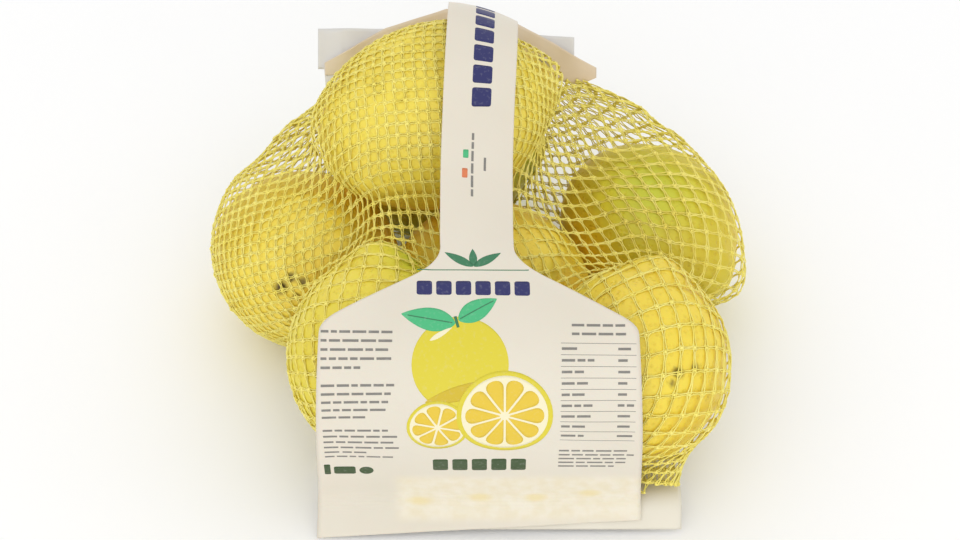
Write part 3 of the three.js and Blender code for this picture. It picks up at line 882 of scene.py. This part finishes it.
def make_net(skin, material):
    """The net in pieces, by how far round it each strand is."""
    crossings = lay_threads(skin)
    strands = strands_between(crossings, skin)
    start, end = (np.array([strand[at:at + 2] for strand in strands]) for at in (2, 4))
    shares = np.arange(1, STRAND_STEPS) / STRAND_STEPS
    between = [skin.at(*(start + (end - start) * share).T) for share in shares]
    inner = push_out_of_lemons(np.stack(between, 1))
    number = {key: place for place, key in enumerate(crossings)}
    places = np.array(list(crossings.values()))
    knots = push_out_of_lemons(skin.at(*places.T))
    random = np.random.RandomState(SEED)
    knots += random.normal(size=knots.shape) * KNOT_UNEVENNESS
    inner += random.normal(size=inner.shape) * STRAND_UNEVENNESS
    for points in (knots, inner):
        points[..., 2] = np.maximum(points[..., 2], LOWEST_STRAND)
    columns = skin.rows.shape[1]
    nearest = np.round(places).astype(int)
    outward = skin.normal[np.clip(nearest[:, 1], 0, len(skin.rows) - 1), nearest[:, 0] % columns]

    turn = (start[:, 0] + end[:, 0]) / 2 % columns / columns
    piece_of = (turn * len(NET_PIECES)).astype(int)
    tree = knitted_net_tree(material)
    for part, name in enumerate(NET_PIECES):
        laid, edges, used = [], [], {}

        def lay(*point_knot_normal):
            laid.append(point_knot_normal)
            return len(laid) - 1

        for place in np.flatnonzero(piece_of == part):
            first, last = (number[key] for key in strands[place][:2])
            span = np.vstack([knots[first], *inner[place], knots[last]])
            if norm(np.diff(span, axis=0), axis=1).sum() > LONGEST_MESH_SIDE:
                continue
            for knot in (first, last):
                if knot not in used:
                    used[knot] = lay(knots[knot], True, outward[knot])
            chain = [lay(point, False, outward[first]) for point in inner[place]]
            chain = [used[first], *chain, used[last]]
            edges += list(zip(chain[:-1], chain[1:]))
        points, is_knot, normals = (np.array(values) for values in zip(*laid))
        guide = make_guide(name + "_guide", points, edges, crossing=is_knot, outward=normals)
        piece = grow(name, guide, tree, {**STRAND_SIZES, "Seed": SEED + part}, material)
        settle(piece, "lemon_in_net", "net_bag")


# ---------------------------------------------------------------------------------------------
# Label

def on_circle(bend, angle):
    (y, z), radius = bend
    return np.stack([y + radius * np.cos(angle), z + radius * np.sin(angle)], -1)


def touch_angle(bend, place, side):
    """Angle on a circle at which a line from a place outside touches it."""
    (y, z), radius = bend
    dy, dz = place[0] - y, place[1] - z
    return math.atan2(dz, dy) + side * math.acos(radius / math.hypot(dy, dz))


def curve(*controls, steps=CURVE_STEPS):
    """A smooth curve from the first control point to the last, or a line between two."""
    level = [np.array(control, float)[None] for control in controls]
    share = np.linspace(0, 1, steps)[:, None]
    while len(level) > 1:
        level = [a * (1 - share) + b * share for a, b in zip(level[:-1], level[1:])]
    return level[0]


def straight(start, end):
    return curve(start, end, steps=STRAIGHT_STEPS)


def round_bend(bend, start, end):
    return on_circle(bend, np.linspace(start, end, BEND_STEPS))


def rounded_corner(start, corner, end):
    start, corner, end = (np.array(place, float) for place in (start, corner, end))
    before = start + (corner - start) * CORNER_STARTS
    after = corner + (end - corner) * CORNER_ENDS
    return [straight(start, before), curve(before, corner, after), straight(after, end)]


class FilmPath:
    """A path in the Y-Z plane that can be read at any distance along it."""

    def __init__(self, runs):
        self.places = np.concatenate([runs[0]] + [run[1:] for run in runs[1:]])
        steps = norm(np.diff(self.places, axis=0), axis=1)
        self.distance = np.concatenate([[0], np.cumsum(steps)])
        self.length = self.distance[-1]
        self.direction = unit(np.gradient(self.places, self.distance, axis=0))

    def at(self, distance, above):
        """Y and Z at a distance along, lifted square to the path."""
        y, z, along_y, along_z = (
            np.interp(distance, self.distance, values)
            for values in (*self.places.T, *self.direction.T)
        )
        return y - along_z * above, z + along_y * above


def label_path():
    lower_start = 2 * math.pi + touch_angle(LOWER_BEND, LABEL_WELD, -1)
    upper_end = touch_angle(UPPER_BEND, STRIP_TURN, 1)
    lower_end = on_circle(LOWER_BEND, LOWER_BEND_END)
    upper_start = on_circle(UPPER_BEND, UPPER_BEND_START)
    ease = norm(upper_start - lower_end) * BETWEEN_BENDS_EASE
    leaves, arrives = (
        np.array([math.sin(angle), -math.cos(angle)]) for angle in (LOWER_BEND_END, UPPER_BEND_START))
    return FilmPath([
        *rounded_corner(LABEL_FOOT, LABEL_WELD, on_circle(LOWER_BEND, lower_start)),
        round_bend(LOWER_BEND, lower_start, LOWER_BEND_END),
        curve(lower_end, lower_end + leaves * ease, upper_start - arrives * ease, upper_start),
        round_bend(UPPER_BEND, UPPER_BEND_START, upper_end),
        straight(on_circle(UPPER_BEND, upper_end), STRIP_TURN),
        curve(STRIP_TURN, STRIP_FOLD, STRIP_END),
    ])


LABEL_PATH = label_path()


def soft_minimum(a, b, rounding):
    nearness = np.maximum(rounding - np.abs(a - b), 0) / rounding
    return np.minimum(a, b) - nearness ** 2 * rounding / 4


def label_half_width(distance):
    foot, shoulder, strip = LABEL_FOOT_WIDTH / 2, LABEL_SHOULDER_WIDTH / 2, STRIP_WIDTH / 2
    side = foot + (shoulder - foot) * distance / SHOULDER_AT
    roof = shoulder + (strip - shoulder) * (distance - SHOULDER_AT) / (NECK_AT - SHOULDER_AT)
    return -soft_minimum(-soft_minimum(side, roof, SHOULDER_CORNER), -strip, NECK_CORNER)


def leaning(lean, distance, sideways):
    goes = [place + LABEL_PATH.length if place < 0 else place for place in lean["goes"]]
    share = within(distance, lean["comes"], goes)
    return share * (lean["slope"] * sideways + lean["curve"] * sideways ** 2)


def label_wrinkles(sideways, distance):
    """How far the film rises and falls as it lies over the lemons and is pressed at its weld."""
    wrinkles = sum(
        height * math.prod(
            np.sin(across * sideways + along * distance + start) for across, along, start in waves)
        for height, *waves in WRINKLES)
    edge = smoothstep(np.abs(sideways) / label_half_width(distance), CURL_STARTS, 1)
    curl = EDGE_CURL * edge * within(distance, *CURL_ALONG)
    ribs = RIB_HEIGHT * np.sin(distance * 2 * math.pi / RIB_PITCH) * within(distance, *RIBS_ALONG)
    strip = smoothstep(distance, *STRIP_COMES)
    return wrinkles * (1 - FLATTER_ON_STRIP * strip) + curl * (1 - strip) + ribs


def label_at(sideways, distance, above=0.0):
    """A point on the label, from its middle line and its lower edge."""
    lift = leaning(LOWER_LEAN, distance, sideways) + leaning(UPPER_LEAN, distance, sideways)
    y, z = LABEL_PATH.at(distance, lift + label_wrinkles(sideways, distance) + above)
    drift = sum(drift * smoothstep(distance, *along) for along, drift in STRIP_DRIFTS)
    return np.stack([LABEL_MIDDLE_X + drift + sideways, y, z], -1)


def closed_slab(top, under):
    """Points and faces of a slab between two grids of points."""
    rows, columns = top.shape[0] - 1, top.shape[1] - 1
    place = np.arange(top[..., 0].size).reshape(rows + 1, columns + 1)
    faces = grid_faces(rows, columns) + grid_faces(rows, columns, first=place.size, flip=True)
    rim = np.concatenate([place[0, :-1], place[:-1, -1], place[-1, :0:-1], place[:0:-1, 0]])
    following = np.roll(rim, -1)
    sides = np.stack([following, rim, place.size + rim, place.size + following], -1)
    return np.concatenate([top.reshape(-1, 3), under.reshape(-1, 3)]), faces + sides.tolist()


def make_film(name, grid, thickness, material):
    """A thin closed sheet round a grid of middle points."""
    normal = unit(np.cross(np.gradient(grid, axis=1), np.gradient(grid, axis=0)))
    points, faces = closed_slab(grid + normal * thickness / 2, grid - normal * thickness / 2)
    return make_piece(name, points, faces, material)


def make_label(material):
    rows = int((LABEL_PATH.length - WELD_ENDS_AT) / LABEL_ROWS_STEP)
    distances = np.concatenate([
        np.arange(0, WELD_ENDS_AT, WELD_ROWS_STEP),
        np.linspace(WELD_ENDS_AT, LABEL_PATH.length, rows),
    ])
    across, distance = np.meshgrid(np.linspace(0, 1, LABEL_COLUMNS + 1), distances)
    distance = distance + FOOT_SLANT_RISE * across * (1 - smoothstep(distance, 0, FOOT_SLANT_FADES))
    sideways = (2 * across - 1) * label_half_width(distance)
    piece = make_film("label_film", label_at(sideways, distance), LABEL_THICKNESS, material)
    net_shows = smoothstep(sideways, *NET_SHOWS_FROM) * within(distance, *NET_SHOWS_ALONG)
    sealed = sum(
        bell(((sideways - s) / SEAL_HALF_WIDTH) ** 2 + ((distance - d) / SEAL_HALF_HEIGHT) ** 2, 1, 1)
        for s, d in SEAL_SPOTS)
    for name, share in (("tinted", net_shows), ("sealed", sealed)):
        add_measure(piece, name, np.tile(TINT_STRENGTH * share.ravel(), 2))
    settle(piece, "label_film", "front_label")


# ---------------------------------------------------------------------------------------------
# Print: thin layers of ink that lie on the label. A patch is a grid of places on the label.

def blade(start, end, half_width, steps, across_steps):
    """A shape along a line, with its half width at each share of the way."""
    start, end = np.array(start, float), np.array(end, float)
    share = (1 - np.cos(np.linspace(0, math.pi, steps + 1))) / 2
    along = unit(end - start)
    square = np.array([-along[1], along[0]])
    side = np.linspace(-1, 1, across_steps + 1)
    width = np.maximum(half_width(share), LEAST_BLADE)
    middle = start + (end - start) * share[:, None]
    return middle[:, None] + (width[:, None] * side)[..., None] * square


def disc(middle, radius):
    s, d = middle
    steps = max(LEAST_DISC_STEPS, int(2 * radius / INK_GRID_STEP))

    def rounded(share):
        return radius * np.sqrt(np.maximum(1 - (2 * share - 1) ** 2, 0))

    return blade((s - radius, d), (s + radius, d), rounded, steps, steps)


def line(start, end, width):
    steps = max(2, int(math.dist(start, end) / INK_GRID_STEP))
    return blade(start, end, lambda share: np.full_like(share, width / 2), steps, 1)


def block(middle, width, height, corner=BLOCK_CORNER):
    """A block with rounded corners."""
    s, d = middle

    def rounded(share):
        from_end = np.minimum(share, 1 - share) * width
        cut = np.maximum(corner - from_end, 0)
        return height / 2 - corner + np.sqrt(np.maximum(corner ** 2 - cut ** 2, 0))

    steps = max(LEAST_BLOCK_STEPS, int(width / INK_GRID_STEP))
    across_steps = max(2, int(height / INK_GRID_STEP))
    return blade((s - width / 2, d), (s + width / 2, d), rounded, steps, across_steps)


def row_of_blocks(start, end, count, size, gap):
    """Equal blocks between two places, one after another across or along the label."""
    start, end = np.array(start, float), np.array(end, float)
    length = (math.dist(start, end) - gap * (count - 1)) / count
    width, height = (length, size) if start[1] == end[1] else (size, length)
    ahead = unit(end - start)
    return [
        block(start + ahead * (length / 2 + number * (length + gap)), width, height)
        for number in range(count)
    ]


def leaf(start, end, width, lean=0.8, fullness=0.85, steps=LEAF_STEPS):
    """A leaf shape. A lean below 1 brings its widest place nearer its start."""
    def rounded(share):
        return width / 2 * np.sin(math.pi * share ** lean) ** fullness

    return blade(start, end, rounded, steps, LEAF_STEPS_ACROSS)


def segment(middle, heading, inner, outer, spread, gap):
    """One segment of a cut fruit, rounded at its outer end."""
    heading = math.radians(heading)
    direction = np.array([math.cos(heading), math.sin(heading)])
    middle = np.array(middle, float)

    def width(share):
        reach = inner + (outer - inner) * share
        wedge = reach * math.tan(math.radians(spread) / 2) - gap / 2
        past = np.maximum(share - SEGMENT_ROUNDS, 0) / (1 - SEGMENT_ROUNDS)
        return wedge * np.sqrt(np.maximum(1 - past ** 2, 0))

    return blade(
        middle + direction * inner, middle + direction * outer, width,
        SEGMENT_STEPS, SEGMENT_STEPS_ACROSS)


def cut_fruit(middle, radius, segments, turn):
    """A cut fruit as (ink, patch, layer): rind, pith and segments."""
    parts = [("yellow", disc(middle, radius), 2), ("pith", disc(middle, radius * PITH_REACH), 3)]
    inner, outer = (radius * share for share in SEGMENT_REACH)
    for heading in np.arange(segments) * 360 / segments + turn:
        flesh = segment(middle, heading, inner, outer, 360 / segments, SEGMENT_GAP)
        parts.append(("flesh", flesh, 4))
    return parts


def printed_shapes():
    """Everything that is printed, apart from the small print, as (ink, patch, layer)."""
    shapes = [
        ("yellow", disc((-6, 76.5), 15.2), 0),
        ("deep_yellow", leaf((-17, 64.5), (8.4, 71.2), 5.2, 1, 0.7, 24), 1),
        ("pith", leaf((-15.5, 84), (-8.5, 88.2), 1.6), 1),
        ("green", leaf((-7.5, 89.5), (-24.5, 92.5), 7.6), 1),
        ("green", leaf((-6.5, 90.5), (5.5, 98), 7.0), 1),
        ("dark_green", line((-8.5, 89.7), (-22.5, 92.1), 0.35), 2),
        ("dark_green", line((-6, 91), (4.4, 97.2), 0.35), 2),
        ("dark_green", line((-6.6, 88.2), (-7.6, 91.8), 0.9), 2),
        ("dark_green", line((-19.5, 109), (16, 109), 0.35), 0),
        ("dark_green", leaf((-1.6, 110.4), (-10.5, 115.8), 3.0), 0),
        ("dark_green", leaf((-1.4, 110.4), (7.5, 115.8), 3.0), 0),
        ("dark_green", leaf((-1.5, 110.6), (-1.5, 117.2), 2.6), 0),
        ("green", block((-3.7, 152.1), 1.8, 2.9, 0.3), 0),
        ("orange", block((-3.9, 145.3), 1.8, 3.4, 0.3), 0),
        ("olive", block((-49.2, 32.2), 2.0, 6.4, 0.5), 0),
        ("olive", block((-43.6, 31.6), 7.0, 4.6), 0),
        ("olive", disc((-36.6, 31.4), 2.3), 0),
    ]
    shapes += cut_fruit((-13.2, 55.2), 9.8, 8, 10)
    shapes += [(ink, patch, layer + 3) for ink, patch, layer in cut_fruit((8, 59.4), 15.2, 10, 0)]
    for ink, start, end, count, size, gap in (
        ("navy", (-19.8, 102), (16, 102), 6, 5.4, 1.3),
        ("olive", (-15, 35.2), (15, 35.2), 5, 7.2, 1.4),
        ("navy", (0.8, 168), (0.8, 221), 7, 6.4, 1.5),
    ):
        shapes += [(ink, patch, 0) for patch in row_of_blocks(start, end, count, size, gap)]
    for place in np.arange(83.4, 46, -3.75):
        shapes.append(("grey", line((25.5, place), (49.2, place - 0.2), 0.16), 0))
    return shapes


def make_print():
    by_ink = {}
    for ink, patch, layer in printed_shapes():
        by_ink.setdefault(ink, []).append((patch, layer))
    for ink, patches in by_ink.items():
        points, faces = [], []
        for patch, layer in patches:
            top, under = (
                label_at(patch[..., 0], patch[..., 1], above)
                for above in (INK_ABOVE_FILM + INK_LAYER * layer, 0)
            )
            slab, slab_faces = closed_slab(top, under)
            faces += (np.array(slab_faces) + len(points)).tolist()
            points += slab.tolist()
        piece = make_piece("print_" + ink, points, faces, ink_finish(ink, INKS[ink]))
        face_outwards(piece)
        settle(piece, "label_film", "front_label")


def small_print_lines():
    """Lines of small print: (start, end, place on the other measure, runs along the label)."""
    # Three ragged paragraphs on the left, each with a short last line.
    lines = []
    for number, place in enumerate(np.arange(86.6, 39, -2.72)):
        if number not in (5, 11):
            short = 8 if number in (4, 10, 16) else 0
            lines.append((-49.5, -25.5 - short - 2.2 * (number * 7 % 5) / 4, place, False))

    # On the right a heading, a table in two columns, and a footnote.
    lines += [(29, 46, place, False) for place in (89.3, 86.4)]
    for number, place in enumerate(np.arange(81.6, 48, -3.75)):
        lines.append((25.8, 33 + 3 * (number * 3 % 4) / 3, place, False))
        lines.append((43.5, 48.6, place - 0.1, False))
    for number, place in enumerate(np.arange(44.2, 32, -2.45)):
        lines.append((25.4, 49.4 - 6 * (number == 4), place, False))

    # Two lines along the strip.
    return lines + [(137, 160, -1.5, True), (146.5, 153, 2.6, True)]


def small_print_tree(material):
    """Small flat bars on points, each turned to the label and stretched to its own length."""
    nodes = GrowingNodes("small_print", SMALL_PRINT_SIZES)
    add, measure, given = nodes.add, nodes.measure, nodes.given
    bar = add("GeometryNodeMeshCube", {"Size": (1, 1, 1)})
    size = add("ShaderNodeCombineXYZ", {
        "X": measure("length", "FLOAT"), "Y": given["Bar height"], "Z": given["Bar depth"]})
    upright = add("FunctionNodeAlignRotationToVector", {"Vector": measure("outward")}, axis="Z")
    turned = add("FunctionNodeAlignRotationToVector", {
        "Rotation": upright["Rotation"], "Vector": measure("reading"),
    }, axis="X", pivot_axis="Z")
    bars = add("GeometryNodeInstanceOnPoints", {
        "Points": given["Geometry"], "Instance": bar["Mesh"],
        "Rotation": turned["Rotation"], "Scale": size["Vector"],
    })
    nodes.close(bars["Instances"], material, smooth=False)
    return nodes.tree


def make_small_print(material):
    random = np.random.RandomState(SEED)
    words = []
    for place, end, beside, runs_along in small_print_lines():
        while place < end - WORD_LENGTHS[0]:
            length = min(random.uniform(*WORD_LENGTHS), end - place)
            middle = place + length / 2
            word = (beside, middle) if runs_along else (middle, beside)
            words.append((*word, length, runs_along))
            place += length + WORD_GAP
    sideways, distance, length, runs_along = np.array(words).T
    step = WORD_PROBE
    across = unit(label_at(sideways + step, distance) - label_at(sideways - step, distance))
    along = unit(label_at(sideways, distance + step) - label_at(sideways, distance - step))
    guide = make_guide(
        "small_print_guide", label_at(sideways, distance, INK_ABOVE_FILM), [],
        length=length * MILLIMETRE,
        outward=unit(np.cross(across, along)),
        reading=np.where(runs_along[:, None] > 0, along, across))
    piece = grow("small_print", guide, small_print_tree(material), SMALL_PRINT_SIZES, material)
    settle(piece, "label_film", "front_label")


# ---------------------------------------------------------------------------------------------
# Bands

def film_grid(start, end, length, across_steps, along_steps):
    """Places from start to end and distances from 0 to the length, evenly spread."""
    return np.meshgrid(
        np.linspace(start, end, across_steps + 1), np.linspace(0, length, along_steps + 1))


def standing_film(start, end, front, slope, reaches, drops, across_steps, along_steps):
    """A film that leans back from a front edge, with gentle folds along it. It reaches back and
    drops below that edge by the amounts given at places along it."""
    x, share = film_grid(start, end, 1, across_steps, along_steps)
    drop, reach = (np.interp(x, list(given), list(given.values())) for given in (drops, reaches))
    reach = (reach + drop) * share - drop
    fold = share * sum(height * np.sin(x / pitch + phase) for height, pitch, phase in FILM_FOLDS)
    slope = math.radians(slope)
    return np.stack([
        x,
        front[0] + reach * math.cos(slope) - fold * math.sin(slope),
        front[1] + reach * math.sin(slope) + fold * math.cos(slope),
    ], -1)


def lying_film(start, end, foot, weld, end_at, across_steps, along_steps):
    """A film that rises from its foot to a weld and runs on under the heap."""
    path = FilmPath(rounded_corner(foot, weld, end_at))
    x, distance = film_grid(start, end, path.length, across_steps, along_steps)
    height, pitch_across, pitch_along = BAND_RIPPLE
    y, z = path.at(distance, height * np.sin(x / pitch_across) * np.sin(distance / pitch_along))
    return np.stack([x, y, z], -1)


def make_bands(beige, pale, grey):
    for name, grid, material, node in (
        ("top_band_film", standing_film(**TOP_BAND), beige, "top_band"),
        ("top_back_film", standing_film(**BACK_FILM), pale, "top_band"),
        ("bottom_band_film", lying_film(**BOTTOM_BAND), grey, "bottom_band"),
    ):
        settle(make_film(name, grid, BAND_THICKNESS, material), "band_film", node)


# ---------------------------------------------------------------------------------------------
# Materials

# Places of the colour sockets of a mix node: share, both colours, and what comes out.
MIX_SHARE, MIX_FIRST, MIX_SECOND, MIX_RESULT = 0, 6, 7, 2

# The stretch of a noise's values that is spread out over the whole range.
NOISE_STRETCH = (0.3, 0.7)


class Finish(Nodes):
    """A material and its Principled shader, with helpers that add nodes to it."""

    def __init__(self, name, **sockets):
        self.material = bpy.data.materials.new(name)
        self.material.use_nodes = True
        super().__init__(self.material.node_tree)
        self.place = self.add("ShaderNodeTexCoord")["Object"]
        self.set(**sockets)

    def set(self, **sockets):
        """Feeds the shader's inputs, with _ for each blank in their names."""
        shader = self.tree.nodes["Principled BSDF"]
        for name, value in sockets.items():
            self.feed(shader.inputs[name.replace("_", " ")], value)

    def noise(self, scale, detail=3):
        inputs = {"Vector": self.place, "Scale": scale, "Detail": detail}
        return self.add("ShaderNodeTexNoise", inputs)["Fac"]

    def spread(self, value, low, high, to_low=0, to_high=1):
        return self.add("ShaderNodeMapRange", {
            "Value": value, "From Min": low, "From Max": high, "To Min": to_low, "To Max": to_high,
        })["Result"]

    def mix(self, share, *colours):
        """Mixes two colours, each given as a tuple or as a socket."""
        first, second = (
            (*colour, 1.0) if isinstance(colour, tuple) else colour for colour in colours)
        inputs = {MIX_SHARE: share, MIX_FIRST: first, MIX_SECOND: second}
        return self.add("ShaderNodeMix", inputs, data_type="RGBA")[MIX_RESULT]

    def mottled(self, scale, detail, first, second, stretch=NOISE_STRETCH):
        """Two colours mixed by noise."""
        return self.mix(self.spread(self.noise(scale, detail), *stretch), first, second)

    def measure(self, name):
        return self.add("ShaderNodeAttribute", attribute_name=name)["Fac"]

    def bump(self, height, strength, distance, **under):
        inputs = {"Height": height, "Strength": strength, "Distance": distance, **under}
        return self.add("ShaderNodeBump", inputs)["Normal"]

    def coated(self, colour, rough, grain=None):
        """The material with a colour, a roughness as noise scale, least and most, and a grain as
        noise scale, detail, strength and depth."""
        scale, *roughness = rough
        roughness = self.spread(self.noise(scale), *NOISE_STRETCH, *roughness)
        self.set(Base_Color=colour, Roughness=roughness)
        if grain:
            self.set(Normal=self.bump(self.noise(*grain[:2]), *grain[2:]))
        return self.material


def rind_finish():
    finish = Finish(
        "lemon_rind", Specular_IOR_Level=0.45, Subsurface_Weight=0.12, Subsurface_Scale=0.004,
        Subsurface_Radius=(1.0, 0.6, 0.12))
    colour = finish.mottled(38, 4, (0.83, 0.58, 0.03), (0.88, 0.67, 0.055), (0.35, 0.7))
    for measure, tint in (
        ("pale", (0.88, 0.705, 0.09)),
        ("green", (0.56, 0.60, 0.035)),
        # Painted amber glow where lemons lie close together, standing in for light bounced between and
        # through the rinds.
        ("painted_valley_glow", (0.94, 0.64, 0.03)),
    ):
        colour = finish.mix(finish.measure(measure), colour, tint)
    pores = finish.add("ShaderNodeTexVoronoi", {"Vector": finish.place, "Scale": 520}, feature="F1")
    pit = finish.spread(pores["Distance"], 0.12, 0.42)
    colour = finish.mix(finish.spread(pit, 0, 1, 0.72, 1), (0.66, 0.45, 0.02), colour)
    colour = finish.mix(finish.measure("scarred"), colour, (0.05, 0.022, 0.006))
    fine = finish.bump(finish.noise(900, 2), 0.25, 0.0002)
    finish.set(Normal=finish.bump(pit, 0.55, 0.00035, Normal=fine))
    return finish.coated(colour, (90, 0.34, 0.52))


def net_finish():
    finish = Finish("net_filament", Specular_IOR_Level=0.3)
    colour = finish.mottled(120, 2, (0.94, 0.81, 0.16), (0.97, 0.87, 0.25))
    return finish.coated(colour, (700, 0.4, 0.6), (2600, 2, 0.4, 0.0001))


def label_finish():
    finish = Finish(
        "label_film", Specular_IOR_Level=0.35, Subsurface_Weight=0.05, Subsurface_Scale=0.002)
    plain = finish.mottled(25, 3, (0.735, 0.67, 0.56), (0.765, 0.70, 0.595))
    netted = finish.mottled(240, 2, (0.82, 0.725, 0.535), (0.86, 0.785, 0.645), (0.35, 0.65))
    tinted = finish.mix(finish.measure("tinted"), plain, netted)
    colour = finish.mix(finish.measure("sealed"), tinted, (0.82, 0.68, 0.37))
    return finish.coated(colour, (60, 0.34, 0.46), (300, 4, 0.15, 0.0002))


def film_finish(name, dark, light):
    finish = Finish(name, Specular_IOR_Level=0.35)
    colour = finish.mottled(30, 3, dark, light)
    return finish.coated(colour, (80, 0.36, 0.5), (350, 4, 0.15, 0.0002))


def ink_finish(name, colour):
    """Printed ink: its colour, a little uneven, with the satin of the film under it."""
    finish = Finish("ink_" + name, Specular_IOR_Level=0.3)
    worn = tuple(0.86 * level + 0.10 for level in colour)
    return finish.coated(finish.mottled(900, 2, colour, worn, (0.55, 0.85)), (60, 0.36, 0.5))


def floor_finish():
    finish = Finish("pale_floor", Specular_IOR_Level=0.2, Roughness=0.8)
    finish.set(Base_Color=finish.mottled(8, 2, (0.97, 0.97, 0.97), (0.98, 0.98, 0.98)))
    return finish.material


# ---------------------------------------------------------------------------------------------
# Floor, lights and camera

def make_floor():
    corners = [(x * FLOOR_HALF, y * FLOOR_HALF, 0) for x, y in ((-1, -1), (1, -1), (1, 1), (-1, 1))]
    floor = make_piece("floor", corners, [(0, 1, 2, 3)], floor_finish(), smooth=False)


def aim(thing, place, target):
    direction = np.array(target, float) - np.array(place, float)
    thing.location = in_frame(place)
    thing.rotation_mode = "QUATERNION"
    thing.rotation_quaternion = Vector(direction).to_track_quat("-Z", "Y")


def make_lights():
    world = bpy.data.worlds.new("studio")
    world.use_nodes = True
    background = world.node_tree.nodes["Background"].inputs
    background["Color"].default_value = (1, 1, 1, 1)
    background["Strength"].default_value = WORLD_LIGHT
    bpy.context.scene.world = world
    for name, (place, size, power) in LIGHTS.items():
        light = bpy.data.lights.new(name, "AREA")
        light.shape = "DISK"
        light.size = size * MILLIMETRE
        light.energy = power
        aim(add_object(name, light), place, LIGHTS_TARGET)


def make_camera():
    camera = bpy.data.cameras.new("camera")
    camera.lens, camera.sensor_width = LENS_LENGTH, SENSOR_WIDTH
    thing = add_object("camera", camera)
    aim(thing, VIEW_TARGET + VIEW_BACK * VIEW_DISTANCE, VIEW_TARGET)
    bpy.context.scene.camera = thing


# ---------------------------------------------------------------------------------------------
# Assembly

bpy.context.scene.view_settings.view_transform = "Standard"
make_camera()
make_lights()
make_floor()

rind = rind_finish()
for place, lemon_name in enumerate(HEAP):
    make_lemon(lemon_name, SEED + place, rind)

make_net(Skin(net_skin()), net_finish())
make_label(label_finish())
make_print()
make_small_print(ink_finish("small_print", INKS["grey"]))
make_bands(
    film_finish("beige_film", (0.71, 0.56, 0.39), (0.81, 0.70, 0.55)),
    film_finish("pale_film", (0.66, 0.64, 0.60), (0.77, 0.755, 0.735)),
    film_finish("grey_film", (0.73, 0.685, 0.575), (0.79, 0.745, 0.635)),
)
